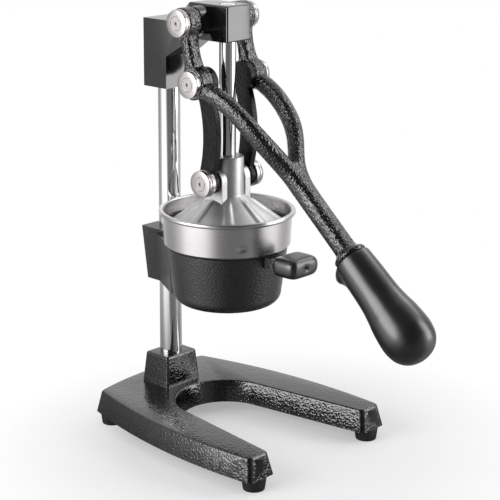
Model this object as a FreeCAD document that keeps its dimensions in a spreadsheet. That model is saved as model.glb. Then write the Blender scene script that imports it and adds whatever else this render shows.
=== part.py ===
import FreeCAD, Part
import math
import os
import Sketcher
from FreeCAD import Placement, Rotation, Vector

# Lever citrus press. Millimetres, +Z up, the front towards -Y. The sizes below are measured
# from the axis of the guide rod (x = 0, y = 0) and from the counter (z = 0); the frame shift
# then moves the whole press so that the origin is under the middle of its overall box.

doc = FreeCAD.newDocument("citrus_press")
sheet = doc.addObject("Spreadsheet::Sheet", "dims")

DRIVING = [
    # where the main pieces stand
    ("frame_shift", 61.76, "from the rod axis to the origin, along Y"),
    ("post_y", 77.8, "post axis behind the rod axis"),
    ("foot_height", 12.0, "counter to underside of the base"),
    ("base_thickness", 21.5, "base plate height at its edge"),
    ("pedestal_top", 64.5, "top of the pedestal over the counter"),
    ("rim_height", 226.2, "top of the strainer rim over the counter"),
    ("cone_pin_rise", 28.73, "pins of the press cone above the strainer rim"),
    # fits
    ("running_fit", 0.05, "radial clearance of a pin or rod that turns or slides"),
    ("seat_fit", 0.05, "radial clearance of a piece held in its bore"),
    ("side_gap", 0.3, "side clearance between links, ears and lever"),
    ("face_gap", 0.15, "between the lever eyes and the washers outside them"),
    # base casting
    ("base_rear", 104.5, "corners of the rear edge behind the rod axis"),
    ("base_front", 116.0, "front ends before the rod axis"),
    ("base_rear_half", 70.5, "half width at the rear edge"),
    ("base_rear_radius", 277.0, "radius of the bowed rear edge"),
    ("base_front_half", 91.5, "half width at the front ends"),
    ("base_leg_inner", 67.0, "inner corner of each front end from the middle"),
    ("base_side_radius", 560.0, "radius of the bowed outer sides"),
    ("base_throat_radius", 50.0, "radius of the round throat between the legs"),
    ("base_draft", 12.5, "draft of the base sides, degrees"),
    ("base_wall", 5.0, "wall of the hollow casting"),
    ("base_side_wall", 6.5, "wall at the outer sides"),
    ("base_core_corner", 39.6, "corner of the rear core beside the round throat"),
    ("base_corner_radius", 6.0, "rounding of the upright corners"),
    ("base_edge_radius", 2.5, "rounding of the top edge"),
    ("base_rib", 4.5, "thickness of the ribs under the base"),
    ("base_rib_front", 55.0, "rib across each leg before the rod axis"),
    ("base_rib_back", 12.0, "rib at the root of each leg behind the rod axis"),
    ("foot_boss_radius", 8.5, "bosses for the foot screws under the base"),
    # pedestal and post
    ("pedestal_half_width", 20.0, "half width of the pedestal top"),
    ("pedestal_half_depth", 15.5, "half depth of the pedestal top"),
    ("pedestal_draft", 5.0, "draft of the pedestal, degrees"),
    ("post_radius", 11.0, "post"),
    ("post_foot", 22.0, "lower end of the post over the counter"),
    ("post_end_gap", 0.1, "between the post end and the roof of its socket"),
    ("post_boss_radius", 19.0, "half width of the solid pillar under the post"),
    ("post_boss_foot", 15.0, "roof of the bolt recess over the counter"),
    ("bolt_recess_radius", 14.0, "recess round the bolt head"),
    ("post_bolt_radius", 5.0, "bolt that holds the post down"),
    ("post_bolt_reach", 24.0, "length of the bolt inside the post"),
    ("post_washer_radius", 12.0, "washer under the bolt head"),
    ("post_washer_thickness", 2.0, "washer under the bolt head"),
    ("post_bolt_head", 6.0, "height of the bolt head"),
    ("post_bolt_flats", 17.0, "across the flats of the bolt head"),
    # feet
    ("foot_inset_x_front", 11.5, "front feet from the outer side of the base"),
    ("foot_inset_y_front", 5.5, "front feet from the front end of the base"),
    ("foot_inset_x_rear", 7.0, "rear feet from the outer side of the base"),
    ("foot_inset_y_rear", 8.0, "rear feet from the rear edge of the base"),
    ("foot_radius", 10.0, "foot where it stands"),
    ("foot_top_radius", 11.6, "foot where it meets the base"),
    ("foot_recess_radius", 4.5, "recess for the screw head"),
    ("foot_recess_depth", 5.0, "recess for the screw head"),
    ("foot_screw_radius", 2.0, "foot screw shank"),
    ("foot_screw_head", 3.8, "foot screw head radius"),
    ("foot_screw_head_height", 2.2, "foot screw head"),
    ("foot_screw_length", 16.0, "foot screw shank"),
    ("screw_slot_width", 1.3, "driver slot of the screws"),
    ("screw_slot_depth", 1.1, "driver slot of the screws"),
    ("end_bevel", 1.0, "bevel on the ends of bars and screws"),
    # head casting
    ("arm_half", 15.4, "half width of the head arm"),
    ("arm_front", 14.3, "front of the arm before the rod axis"),
    ("arm_height", 33.3, "height of the arm"),
    ("arm_back", 34.5, "rear end of the arm top"),
    ("block_half", 19.5, "half width of the rear block"),
    ("block_front", 61.7, "front of the block behind the rod axis"),
    ("block_rear", 93.0, "rear of the block behind the rod axis"),
    ("block_top_drop", 19.2, "block top below the arm top"),
    ("block_height", 65.2, "height of the block"),
    ("step_run", 16.0, "run of the slope from arm top to block top"),
    ("gusset_rise", 31.0, "root of the gusset above the block foot"),
    ("gusset_end", 30.0, "where the gusset meets the arm, behind the rod axis"),
    ("head_edge_radius", 1.6, "rounding of the head edges"),
    ("post_socket_depth", 58.0, "depth of the post socket in the head"),
    ("grub_radius", 4.0, "grub screws of head and bracket"),
    ("grub_length", 9.0, "grub screws of head and bracket"),
    ("grub_key_radius", 2.2, "hexagon socket in the grub screws, to its corners"),
    ("grub_key_depth", 4.5, "hexagon socket in the grub screws"),
    # linkage
    ("pivot_back", 18.0, "upper pivot behind the rod axis"),
    ("pivot_drop", 15.4, "upper pivot below the arm top"),
    ("crank_length", 56.0, "upper pivot to crank pin"),
    ("crank_angle", 14.3, "crank from straight down when closed, degrees"),
    ("link_length", 94.0, "crank pin to cone pin"),
    ("lever_angle", 42.0, "handle below level when closed, degrees"),
    ("pin_radius", 6.0, "upper pivot and crank pins"),
    ("cone_pin_radius", 5.0, "pins at the press cone"),
    ("boss_radius", 14.0, "bosses on the head and eyes on the upper pivot"),
    ("boss_reach", 28.0, "boss face from the middle"),
    ("eye_outer", 43.2, "outer face of the lever eyes from the middle"),
    ("crank_eye_radius", 15.0, "lever eyes on the crank pins"),
    ("cap_radius", 12.6, "pin caps"),
    ("cap_thickness", 4.5, "pin caps"),
    ("cap_ring_radius", 6.4, "ring groove in the cap face"),
    ("cap_ring_width", 0.9, "ring groove in the cap face"),
    ("cap_edge_bevel", 0.8, "bevel round the cap face"),
    ("cap_centre_radius", 1.5, "centre hole of the caps"),
    ("cap_centre_depth", 2.2, "centre hole of the caps"),
    ("washer_radius", 12.9, "washers under the caps"),
    ("washer_thickness", 1.2, "washers under the caps"),
    ("cone_washer_thickness", 4.4, "washers under the caps at the press cone"),
    ("washer_bevel", 0.3, "bevel on the outer edge of the washers"),
    # links
    ("link_inner", 21.7, "inner face of the links from the middle"),
    ("link_thickness", 6.3, "links"),
    ("link_front", 5.2, "front side of the bar before the line of its eyes"),
    ("link_rear", 12.4, "rear side of the bar behind that line"),
    ("link_bow", 9.8, "how far both long sides of the link bar bow forward"),
    ("link_top_radius", 14.0, "link eye on the crank pin"),
    ("link_foot_radius", 11.4, "link eye on the cone pin"),
    ("link_foot_inner", 19.8, "inner face of the hub of the foot eye from the middle"),
    ("link_foot_hub", 8.6, "radius of that hub"),
    ("blind_wall", 2.3, "floor left in the blind eyes"),
    # lever casting
    ("crank_web", 11.0, "width of the crank between its eyes"),
    ("shaft_width", 18.5, "lever shaft across"),
    ("shaft_height", 16.7, "lever shaft deep"),
    ("yoke_width", 13.6, "yoke arm across"),
    ("yoke_depth", 16.4, "yoke arm deep"),
    ("yoke_spread", 29.6, "yoke arm from the middle, half way"),
    ("yoke_relief", 0.8, "root of each yoke arm inside the outer face of the eye"),
    ("yoke_rise", 13.3, "how far the yoke arches over the shaft line"),
    ("yoke_length", 112.0, "crank pin to the crotch of the yoke"),
    ("section_chamfer", 3.2, "bevel on the edges of the lever casting"),
    ("grip_start", 211.5, "crank pin to the start of the grip"),
    ("collar_radius", 16.2, "bead at the end of the casting"),
    ("collar_length", 6.0, "bead at the end of the casting"),
    ("tang_radius", 7.0, "tang inside the grip"),
    ("tang_length", 72.0, "tang inside the grip"),
    # lever grip
    ("grip_length", 110.5, "grip"),
    ("grip_neck_radius", 17.0, "grip at its start"),
    ("grip_waist_radius", 18.8, "grip in the hand"),
    ("grip_bulb_radius", 24.4, "grip at its widest"),
    ("grip_lip_reach", 25.0, "finger lip from the grip axis"),
    ("grip_lip_radius", 9.0, "finger lip"),
    # press cone and guide rod
    ("rod_radius", 7.9, "guide rod"),
    ("sleeve_radius", 15.5, "sleeve of the press cone"),
    ("sleeve_rise", 22.0, "sleeve top above the cone pins"),
    ("sleeve_drop", 14.8, "sleeve foot below the cone pins"),
    ("rod_seat_drop", 11.0, "rod end below the cone pins"),
    ("ear_outer", 19.5, "outer face of the ears from the middle"),
    ("ear_radius", 11.8, "half width of the ears"),
    ("ear_arc", 11.85, "radius of the round top of the ears"),
    ("ear_drop", 22.5, "foot of the ears below the cone pins"),
    ("cone_shoulder_radius", 21.0, "top of the cone flank"),
    ("cone_shoulder_drop", 4.2, "fall from the sleeve foot to the top of the flank"),
    ("cone_edge_radius", 55.5, "rim of the cone"),
    ("cone_flank_drop", 43.5, "flank foot below the cone pins"),
    ("cone_skirt", 5.0, "straight skirt at the rim"),
    ("cone_wall", 3.2, "wall of the cone"),
    ("cone_cavity_drop", 1.9, "corner of the cavity below the flank foot"),
    ("cone_ribs", 8, "ribs on the cone"),
    ("cone_rib_height", 2.0, "how proud the ribs stand"),
    ("cone_rib_sink", 3.0, "how deep the ribs are rooted in the cone"),
    ("cone_rib_root", 2.6, "half width of a rib at the sleeve"),
    ("cone_rib_root_crest", 1.4, "half width of its crest there"),
    ("cone_rib_foot", 5.4, "half width of a rib at the rim"),
    ("cone_rib_foot_crest", 3.0, "half width of its crest there"),
    ("cone_rib_start", 0.8, "start of the ribs outside the sleeve"),
    ("cone_rib_lift", 1.6, "start of the ribs above the flank"),
    ("cone_rib_setback", 0.6, "end of the ribs inside the rim"),
    # strainer
    ("rim_radius", 65.0, "outside of the rolled rim"),
    ("bead_radius", 2.4, "rolled rim"),
    ("strainer_wall", 1.0, "sheet"),
    ("strainer_top_radius", 61.6, "outside of the wall under the rim"),
    ("strainer_foot_radius", 60.2, "outside of the wall at the shoulder"),
    ("shoulder_drop", 34.7, "shoulder below the rim top"),
    ("basket_top_radius", 52.4, "basket below the shoulder"),
    ("basket_foot_radius", 49.5, "basket at its floor"),
    ("basket_depth", 19.5, "basket below the shoulder"),
    ("slot_count", 16, "drain slots in the basket floor"),
    ("slot_inner", 37.5, "inner end of the slots"),
    ("slot_outer", 46.5, "outer end of the slots"),
    ("slot_width", 3.0, "slots"),
    # reamer
    ("reamer_radius", 34.0, "reamer at its foot"),
    ("reamer_height", 47.0, "reamer"),
    ("reamer_flange", 2.2, "flat flange under the reamer"),
    ("reamer_core_radius", 29.2, "reamer above the flange"),
    ("reamer_tip_radius", 4.0, "reamer under its tip"),
    ("reamer_tip_height", 1.0, "tip of the reamer"),
    ("reamer_flank_radius", 89.3, "curve of the reamer flank"),
    ("reamer_ribs", 10, "ribs on the reamer"),
    ("reamer_rib_half", 1.6, "half width of the ribs at the flange"),
    ("reamer_rib_tip_half", 0.8, "half width of the ribs at the tip"),
    ("reamer_rib_crest", 0.6, "half width of their crest at the flange"),
    ("reamer_rib_tip_crest", 0.3, "half width of their crest at the tip"),
    ("reamer_rib_height", 6.0, "height of a rib section"),
    ("reamer_rib_start", 27.2, "outer end of the ribs from the axis"),
    ("reamer_rib_end", 3.0, "inner end of the ribs from the axis"),
    ("reamer_rib_top", 37.7, "foot of the rib section at the tip"),
    # cup casting
    ("cup_top_radius", 57.6, "outside of the cup at its top"),
    ("cup_foot_radius", 51.9, "outside of the cup at its foot"),
    ("cup_height", 55.6, "cup"),
    ("cup_wall", 4.0, "cup"),
    ("cup_floor", 4.4, "cup"),
    ("cup_corner_radius", 11.0, "how far the rounded foot of the cup reaches"),
    ("cup_corner_arc", 11.35, "radius of the rounded foot"),
    ("spout_radius", 8.0, "spout hole"),
    ("spout_wall", 3.5, "spout ring"),
    ("spout_drop", 5.0, "spout ring below the cup"),
    ("funnel_fall", 6.0, "fall of the cup floor to the spout"),
    ("bracket_half", 19.3, "half width of the bracket block"),
    ("bracket_rear", 97.0, "rear of the block behind the rod axis"),
    ("bracket_height", 49.8, "height of the block below the cup top"),
    ("bracket_rise", 3.9, "how far the block stands over the cup top round the post"),
    ("bracket_front", 64.5, "front of that raised part behind the rod axis"),
    ("bracket_draft", 4.0, "draft of the block, degrees"),
    ("neck_half", 41.0, "half width of the neck at the cup"),
    ("neck_back", 39.0, "where the neck meets the cup"),
    ("neck_root_half", 24.6, "half width of the neck root inside the cup"),
    ("lug_half", 9.0, "half width of the front lug"),
    ("lug_height", 10.5, "front lug"),
    ("lug_rise", 44.8, "foot of the lug above the cup foot"),
    ("lug_end", 74.0, "front end of the lug before the rod axis"),
    ("tongue_half", 8.0, "half width of the tongue in the cup grip"),
    ("tongue_height", 5.0, "tongue in the cup grip"),
    ("tongue_lift", 2.0, "tongue above the middle of the lug"),
    ("tongue_end", 91.0, "front end of the tongue"),
    # cup grip
    ("cup_grip_half", 18.3, "half width of the cup grip"),
    ("cup_grip_height", 17.2, "cup grip"),
    ("cup_grip_length", 25.5, "cup grip"),
    ("cup_grip_round", 6.2, "rounding of the long edges of the cup grip"),
    ("cup_grip_face_round", 4.0, "rounding of its front edges"),
    ("cup_screw_radius", 1.3, "screw in the cup grip"),
    ("cup_screw_head", 1.9, "head of that screw"),
    ("cup_screw_head_height", 2.0, "head of that screw"),
    ("cup_screw_length", 11.0, "shank of that screw"),
    ("cup_screw_sink", 2.4, "screw head below the grip face"),
]


class Size:
    """A number together with the sheet formula that gives it."""

    def __init__(self, number, formula):
        self.number = number
        self.formula = formula

    def joined(self, sign, other, number):
        return Size(number, "(%s %s %s)" % (self.formula, sign, as_size(other).formula))

    def __add__(self, other):
        return self.joined("+", other, self.number + as_size(other).number)

    def __sub__(self, other):
        return self.joined("-", other, self.number - as_size(other).number)

    def __mul__(self, other):
        return self.joined("*", other, self.number * as_size(other).number)

    def __truediv__(self, other):
        return self.joined("/", other, self.number / as_size(other).number)

    def __neg__(self):
        return Size(-self.number, "(0 - %s)" % self.formula)

    def __float__(self):
        return float(self.number)


def as_size(value):
    if isinstance(value, Size):
        return value
    return Size(float(value), repr(float(value)))


def cosine(angle):
    return Size(math.cos(math.radians(angle.number)), "cos(%s)" % angle.formula)


def sine(angle):
    return Size(math.sin(math.radians(angle.number)), "sin(%s)" % angle.formula)


def tangent(angle):
    return Size(math.tan(math.radians(angle.number)), "tan(%s)" % angle.formula)


def root(value):
    return Size(math.sqrt(value.number), "sqrt(%s)" % value.formula)


def arc_cosine(value):
    return Size(math.degrees(math.acos(value.number)), "acos(%s)" % value.formula)


def arc_tangent(value):
    return Size(math.degrees(math.atan(value.number)), "atan(%s)" % value.formula)


def arc_sine(value):
    return Size(math.degrees(math.asin(value.number)), "asin(%s)" % value.formula)


for line, (alias, number, note) in enumerate(DRIVING, start=1):
    sheet.set("A%d" % line, note)
    sheet.set("B%d" % line, str(number))
    sheet.setAlias("B%d" % line, alias)
doc.recompute()


def size(alias):
    """The driving size of that name, as the sheet holds it."""
    return Size(float(getattr(sheet, alias)), "dims." + alias)


zero = as_size(0)
shift = size("frame_shift")

# places that several pieces share
base_foot_z = size("foot_height")
base_top_z = base_foot_z + size("base_thickness")
pivot_y = size("pivot_back")
cone_pin_z = size("rim_height") + size("cone_pin_rise")
crank_y = pivot_y - size("crank_length") * sine(size("crank_angle"))
crank_z = cone_pin_z + root(size("link_length") * size("link_length") - crank_y * crank_y)
pivot_z = crank_z + size("crank_length") * cosine(size("crank_angle"))
head_top_z = pivot_z + size("pivot_drop")
arm_foot_z = head_top_z - size("arm_height")
block_top_z = head_top_z - size("block_top_drop")
block_foot_z = block_top_z - size("block_height")
shoulder_z = size("rim_height") - size("shoulder_drop")
cup_top_z = shoulder_z - size("strainer_wall")
cup_foot_z = cup_top_z - size("cup_height")
basket_floor_z = shoulder_z - size("basket_depth")
link_outer = size("link_inner") + size("link_thickness")
crank_inner = link_outer + size("side_gap")
cap_seat = size("eye_outer") + size("face_gap") + size("washer_thickness")
cone_cap_seat = link_outer + size("cone_washer_thickness")

sub_parts = []


def bind(thing, path, value):
    thing.setExpression(path, as_size(value).formula)


def keep(thing, x=zero, y=zero, z=zero, turn=None):
    """Name a finished sub-part and put it in its place."""
    if turn is not None:
        thing.Placement = Placement(Vector(0, 0, 0), turn)
    bind(thing, "Placement.Base.x", x)
    bind(thing, "Placement.Base.y", y + shift)
    bind(thing, "Placement.Base.z", z)
    sub_parts.append(thing)


def new_body(name):
    body = doc.addObject("PartDesign::Body", name)
    body.Label = name
    return body


def origin_plane(body, role):
    return [item for item in body.Origin.OriginFeatures if item.Role == role][0]


def new_sketch(body, name, plane, lift=zero):
    sketch = body.newObject("Sketcher::SketchObject", name)
    sketch.AttachmentSupport = [(origin_plane(body, plane), "")]
    sketch.MapMode = "FlatFace"
    sketch.AttachmentOffset = Placement(Vector(0, 0, float(lift)), Rotation())
    bind(sketch, "AttachmentOffset.Base.z", lift)
    return sketch


def dimension(sketch, kind, value, *where):
    index = sketch.addConstraint(Sketcher.Constraint(kind, *where, float(value)))
    bind(sketch, "Constraints[%d]" % index, value)


def pin_down(sketch, edge, end, x, y):
    """Hold one end of an edge at x, y from the sketch origin."""
    if x is zero:
        sketch.addConstraint(Sketcher.Constraint("PointOnObject", edge, end, -2))
    else:
        dimension(sketch, "DistanceX", x, -1, 1, edge, end)
    if y is zero:
        sketch.addConstraint(Sketcher.Constraint("PointOnObject", edge, end, -1))
    else:
        dimension(sketch, "DistanceY", y, -1, 1, edge, end)


def bowed(start, end, radius, side):
    """Arc from start to end; side 1 puts its centre on the left of the way, -1 on the right."""
    chord = end - start
    left = Vector(-chord.y, chord.x, 0).normalize()
    height = math.sqrt(radius ** 2 - (chord.Length / 2) ** 2)
    centre = start + chord * 0.5 + left * (side * height)
    return Part.Arc(start, centre - left * (side * radius), end)


def near_end(sketch, edge, point):
    if (sketch.getPoint(edge, 1) - point).Length < (sketch.getPoint(edge, 2) - point).Length:
        return 1
    return 2


def draw_loop(sketch, corners, arcs=None):
    """Closed outline through corners; arcs maps an edge number to its radius and side."""
    arcs = arcs or {}
    points = [Vector(float(x), float(y), 0) for x, y in corners]
    count = len(points)
    first = sketch.GeometryCount
    for number in range(count):
        start, end = points[number], points[(number + 1) % count]
        if number in arcs:
            radius, side = arcs[number]
            sketch.addGeometry(bowed(start, end, float(radius), side), False)
        else:
            sketch.addGeometry(Part.LineSegment(start, end), False)
    for number in range(count):
        edge = first + number
        following = first + (number + 1) % count
        joint = points[(number + 1) % count]
        here = near_end(sketch, edge, joint)
        there = near_end(sketch, following, joint)
        sketch.addConstraint(Sketcher.Constraint("Coincident", edge, here, following, there))
        if number in arcs:
            dimension(sketch, "Radius", arcs[number][0], edge)
    for number, (x, y) in enumerate(corners):
        edge = first + number
        pin_down(sketch, edge, near_end(sketch, edge, points[number]), x, y)


def draw_circle(sketch, x, y, radius):
    centre = Vector(float(x), float(y), 0)
    edge = sketch.addGeometry(Part.Circle(centre, Vector(0, 0, 1), float(radius)), False)
    pin_down(sketch, edge, 3, x, y)
    dimension(sketch, "Radius", radius, edge)


def new_feature(body, kind, name, sketch):
    feature = body.newObject("PartDesign::" + kind, name)
    feature.Profile = sketch
    return feature


def pad(body, name, sketch, length, both_ways=False, reverse=False, draft=None):
    feature = new_feature(body, "Pad", name, sketch)
    if both_ways:
        feature.SideType = "Symmetric"
    feature.Reversed = reverse
    bind(feature, "Length", length)
    if draft is not None:
        bind(feature, "TaperAngle", draft)
    return feature


def pocket(body, name, sketch, depth, both_ways=False, reverse=False):
    """Cut a sketch into the body and make sure that something was cut."""
    doc.recompute()
    before = body.Shape.Volume
    feature = new_feature(body, "Pocket", name, sketch)
    if both_ways:
        feature.SideType = "Symmetric"
    feature.Reversed = reverse
    bind(feature, "Length", depth)
    doc.recompute()
    if body.Shape.Volume >= before:
        raise RuntimeError(body.Label + ": " + name + " cuts nothing")
    return feature


def revolve(body, name, sketch, kind="Revolution"):
    feature = new_feature(body, kind, name, sketch)
    feature.ReferenceAxis = (sketch, ["V_Axis"])
    feature.Angle = 360
    return feature


def edges_where(body, test):
    doc.recompute()
    names = []
    for number, edge in enumerate(body.Shape.Edges, start=1):
        box = edge.BoundBox
        if test(edge, box):
            names.append("Edge%d" % number)
    return names


def dress(body, kind, name, test, amount):
    """Fillet or chamfer every edge of the body that passes the test."""
    names = edges_where(body, test)
    if not names:
        raise RuntimeError(body.Label + ": no edge for " + name)
    feature = body.newObject("PartDesign::" + kind, name)
    feature.Base = (body.Tip if body.Tip is not feature else feature.BaseFeature, names)
    bind(feature, "Radius" if kind == "Fillet" else "Size", amount)
    return feature


def turned(name, corners, arcs=None):
    """A lathe-turned piece: its half section, radius along X and axis along Z."""
    body = new_body(name)
    sketch = new_sketch(body, name + "_section", "XZ_Plane")
    draw_loop(sketch, corners, arcs)
    revolve(body, name + "_turning", sketch)
    return body


to_right = Rotation(Vector(0, 1, 0), 90)
to_left = Rotation(Vector(0, 1, 0), -90)
to_back = Rotation(Vector(1, 0, 0), -90)

# Base: a hollow iron casting, a horseshoe open to the front so that a glass stands under
# the cup, with a square tapered pedestal at the rear that takes the post.
base = new_body("base_casting")
outline = new_sketch(base, "base_outline", "XY_Plane", base_top_z)
leg_x = size("base_leg_inner")
front_y = -size("base_front")
throat = size("base_throat_radius")
leg_reach = root(leg_x * leg_x + front_y * front_y)
throat_turn = arc_cosine(throat / leg_reach) - arc_tangent(size("base_front") / leg_x)
touch_x = throat * cosine(throat_turn)
touch_y = throat * sine(throat_turn)
draw_loop(
    outline,
    [
        (-size("base_rear_half"), size("base_rear")),
        (size("base_rear_half"), size("base_rear")),
        (size("base_front_half"), front_y),
        (leg_x, front_y),
        (touch_x, touch_y),
        (-touch_x, touch_y),
        (-leg_x, front_y),
        (-size("base_front_half"), front_y),
    ],
    {
        0: (size("base_rear_radius"), -1),
        1: (size("base_side_radius"), -1),
        4: (throat, 1),
        7: (size("base_side_radius"), -1),
    },
)
pad(base, "base_plate", outline, size("base_thickness"), reverse=True, draft=size("base_draft"))


def base_corner(edge, box):
    outer = abs(box.Center.x) > float(leg_x) - 8 and not -60 < box.Center.y < 60
    return outer and box.ZLength > 5 and len(edge.Vertexes) == 2


dress(base, "Fillet", "base_corners", base_corner, size("base_corner_radius"))
dress(base, "Fillet", "base_edge", lambda edge, box: box.ZMin > float(base_top_z) - 0.01,
      size("base_edge_radius"))

# The underside is hollow between the outer wall and the ribs, with bosses for the foot
# screws and one for the post.
wall = size("base_wall")
half_rib = size("base_rib") / 2
grow = size("base_thickness") * tangent(size("base_draft"))
leg_slope = (leg_x - throat) / size("base_front")
side_slope = (size("base_front_half") - size("base_rear_half")) / (size("base_front") + size("base_rear"))
core_front = size("base_front") + grow - wall
core_throat = throat + wall


def inside_leg(y):
    """Inner side of a leg core at a distance before the rod axis."""
    return leg_x - grow + wall - (size("base_front") - y) * leg_slope


def outside_leg(y):
    """Outer side of a leg core at a distance before the rod axis."""
    return size("base_front_half") + grow - size("base_side_wall") - (size("base_front") - y) * side_slope


def rear_edge(x):
    """Bowed rear edge of the base at a distance from the middle."""
    radius = size("base_rear_radius")
    half = size("base_rear_half")
    return size("base_rear") - root(radius * radius - half * half) + root(radius * radius - x * x)


cores = new_sketch(base, "base_cores", "XY_Plane", base_foot_z)
for sign in (1, -1):
    front_rib = size("base_rib_front")
    back_rib = -size("base_rib_back")
    for ahead, behind in ((core_front, front_rib + half_rib), (front_rib - half_rib, back_rib + half_rib)):
        draw_loop(cores, [
            (inside_leg(ahead) * sign, -ahead),
            (outside_leg(ahead) * sign, -ahead),
            (outside_leg(behind) * sign, -behind),
            (inside_leg(behind) * sign, -behind),
        ])
    rear_core = size("base_rear") + grow - wall
    boss_clear = size("post_boss_radius") + half_rib
    draw_loop(cores, [
        (boss_clear * sign, rear_edge(boss_clear) + grow - wall),
        (outside_leg(-rear_core) * sign, rear_core),
        (outside_leg(back_rib) * sign, size("base_rib_back") + half_rib),
        (core_throat * sign, size("base_rib_back") + half_rib),
        (size("base_core_corner") * sign, size("base_core_corner")),
        (boss_clear * sign, core_throat),
    ])
pocket(base, "base_hollow", cores, size("base_thickness") - wall, reverse=True)
foot_x_front = size("base_front_half") - size("foot_inset_x_front")
foot_y_front = -(size("base_front") - size("foot_inset_y_front"))
foot_x_rear = size("base_rear_half") - size("foot_inset_x_rear")
foot_y_rear = size("base_rear") - size("foot_inset_y_rear")
foot_places = {
    "foot_front_left": (-foot_x_front, foot_y_front),
    "foot_front_right": (foot_x_front, foot_y_front),
    "foot_rear_left": (-foot_x_rear, foot_y_rear),
    "foot_rear_right": (foot_x_rear, foot_y_rear),
}
bosses = new_sketch(base, "base_foot_bosses", "XY_Plane", base_foot_z)
for x, y in foot_places.values():
    draw_circle(bosses, x, y, size("foot_boss_radius"))
pad(base, "foot_bosses", bosses, size("base_thickness") - wall / 2)
bolt_recess = new_sketch(base, "bolt_recess_circle", "XY_Plane", base_foot_z)
draw_circle(bolt_recess, zero, size("post_y"), size("bolt_recess_radius"))
pocket(base, "bolt_recess", bolt_recess, size("post_boss_foot") - base_foot_z, reverse=True)

pedestal = new_sketch(base, "pedestal_top", "XY_Plane", size("pedestal_top"))
near_y = size("post_y") - size("pedestal_half_depth")
far_y = size("post_y") + size("pedestal_half_depth")
draw_loop(pedestal, [
    (-size("pedestal_half_width"), near_y),
    (size("pedestal_half_width"), near_y),
    (size("pedestal_half_width"), far_y),
    (-size("pedestal_half_width"), far_y),
])
pad(base, "pedestal", pedestal, size("pedestal_top") - base_top_z + wall / 2, reverse=True,
    draft=size("pedestal_draft"))


def pedestal_edge(edge, box):
    return box.ZMax > float(size("pedestal_top")) - 0.01


dress(base, "Fillet", "pedestal_edges", pedestal_edge, size("base_edge_radius"))
post_bore = new_sketch(base, "post_bore", "XY_Plane", size("post_foot"))
draw_circle(post_bore, zero, size("post_y"), size("post_radius") + size("seat_fit"))
pocket(base, "post_socket", post_bore, size("pedestal_top"), reverse=True)
bolt_bore = new_sketch(base, "bolt_bore", "XY_Plane", size("post_boss_foot"))
draw_circle(bolt_bore, zero, size("post_y"), size("post_bolt_radius") + size("seat_fit"))
pocket(base, "bolt_hole", bolt_bore, size("post_foot"), reverse=True)
screw_bores = new_sketch(base, "foot_screw_bores", "XY_Plane", base_foot_z)
for x, y in foot_places.values():
    draw_circle(screw_bores, x, y, size("foot_screw_radius") + size("seat_fit"))
screw_hole_depth = size("foot_screw_length") + size("foot_recess_depth") - base_foot_z
pocket(base, "foot_screw_holes", screw_bores, screw_hole_depth + size("end_bevel"), reverse=True)
keep(base)

# Feet: tapered rubber pads, each with a recess in its underside for the screw that holds it.
foot_hole = size("foot_screw_radius") + size("seat_fit")
for name, (x, y) in foot_places.items():
    foot = turned(name, [
        (size("foot_recess_radius"), zero),
        (size("foot_radius"), zero),
        (size("foot_top_radius"), size("foot_height")),
        (foot_hole, size("foot_height")),
        (foot_hole, size("foot_recess_depth")),
        (size("foot_recess_radius"), size("foot_recess_depth")),
    ])
    keep(foot, x, y)


def screw_shape(head_radius, head_height, shank_radius, shank_length):
    """A slotted screw with a flat round head; shank along +Z, head below the origin."""
    slot_width = float(size("screw_slot_width"))
    slot_depth = float(size("screw_slot_depth"))
    head = Part.makeCylinder(head_radius, head_height, Vector(0, 0, -head_height))
    slot = Part.makeBox(head_radius * 2, slot_width, slot_depth,
                        Vector(-head_radius, -slot_width / 2, -head_height))
    shank = Part.makeCylinder(shank_radius, shank_length)
    return head.cut(slot).fuse(shank).removeSplitter()


screws = doc.addObject("Part::Feature", "foot_screws")
screws.Label = "foot_screws"
one_screw = screw_shape(float(size("foot_screw_head")), float(size("foot_screw_head_height")),
                        float(size("foot_screw_radius")), float(size("foot_screw_length")))
solids = []
for x, y in foot_places.values():
    copy = one_screw.copy()
    copy.translate(Vector(float(x), float(y), float(size("foot_recess_depth"))))
    solids.append(copy)
screws.Shape = Part.makeCompound(solids)
keep(screws)

# Post: a chromed steel bar, seated in the pedestal and bolted down from below.
post_length = block_foot_z + size("post_socket_depth") - size("post_end_gap") - size("post_foot")
post = turned("post", [
    (zero, size("post_bolt_reach")),
    (size("post_bolt_radius") + size("seat_fit"), size("post_bolt_reach")),
    (size("post_bolt_radius") + size("seat_fit"), zero),
    (size("post_radius") - size("end_bevel"), zero),
    (size("post_radius"), size("end_bevel")),
    (size("post_radius"), post_length - size("end_bevel")),
    (size("post_radius") - size("end_bevel"), post_length),
    (zero, post_length),
])
keep(post, y=size("post_y"), z=size("post_foot"))

post_washer = turned("post_washer", [
    (size("post_bolt_radius") + size("seat_fit"), -size("post_washer_thickness")),
    (size("post_washer_radius"), -size("post_washer_thickness")),
    (size("post_washer_radius"), zero),
    (size("post_bolt_radius") + size("seat_fit"), zero),
])
keep(post_washer, y=size("post_y"), z=size("post_boss_foot"))


def hexagon_corners(radius):
    sixth = 60.0
    return [(radius * cosine(as_size(sixth * n)), radius * sine(as_size(sixth * n))) for n in range(6)]


post_bolt = new_body("post_bolt")
hexagon = new_sketch(post_bolt, "bolt_head_outline", "XY_Plane", -size("post_washer_thickness"))
across = size("post_bolt_flats") / (cosine(as_size(30)) * 2)
draw_loop(hexagon, hexagon_corners(across))
pad(post_bolt, "bolt_head", hexagon, size("post_bolt_head"), reverse=True)
shank_circle = new_sketch(post_bolt, "bolt_shank_circle", "XY_Plane", -size("post_washer_thickness"))
draw_circle(shank_circle, zero, zero, size("post_bolt_radius"))
pad(post_bolt, "bolt_shank", shank_circle,
    size("post_foot") - size("post_boss_foot") + size("post_washer_thickness") + size("post_bolt_reach") - 2)
keep(post_bolt, y=size("post_y"), z=size("post_boss_foot"))

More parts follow.
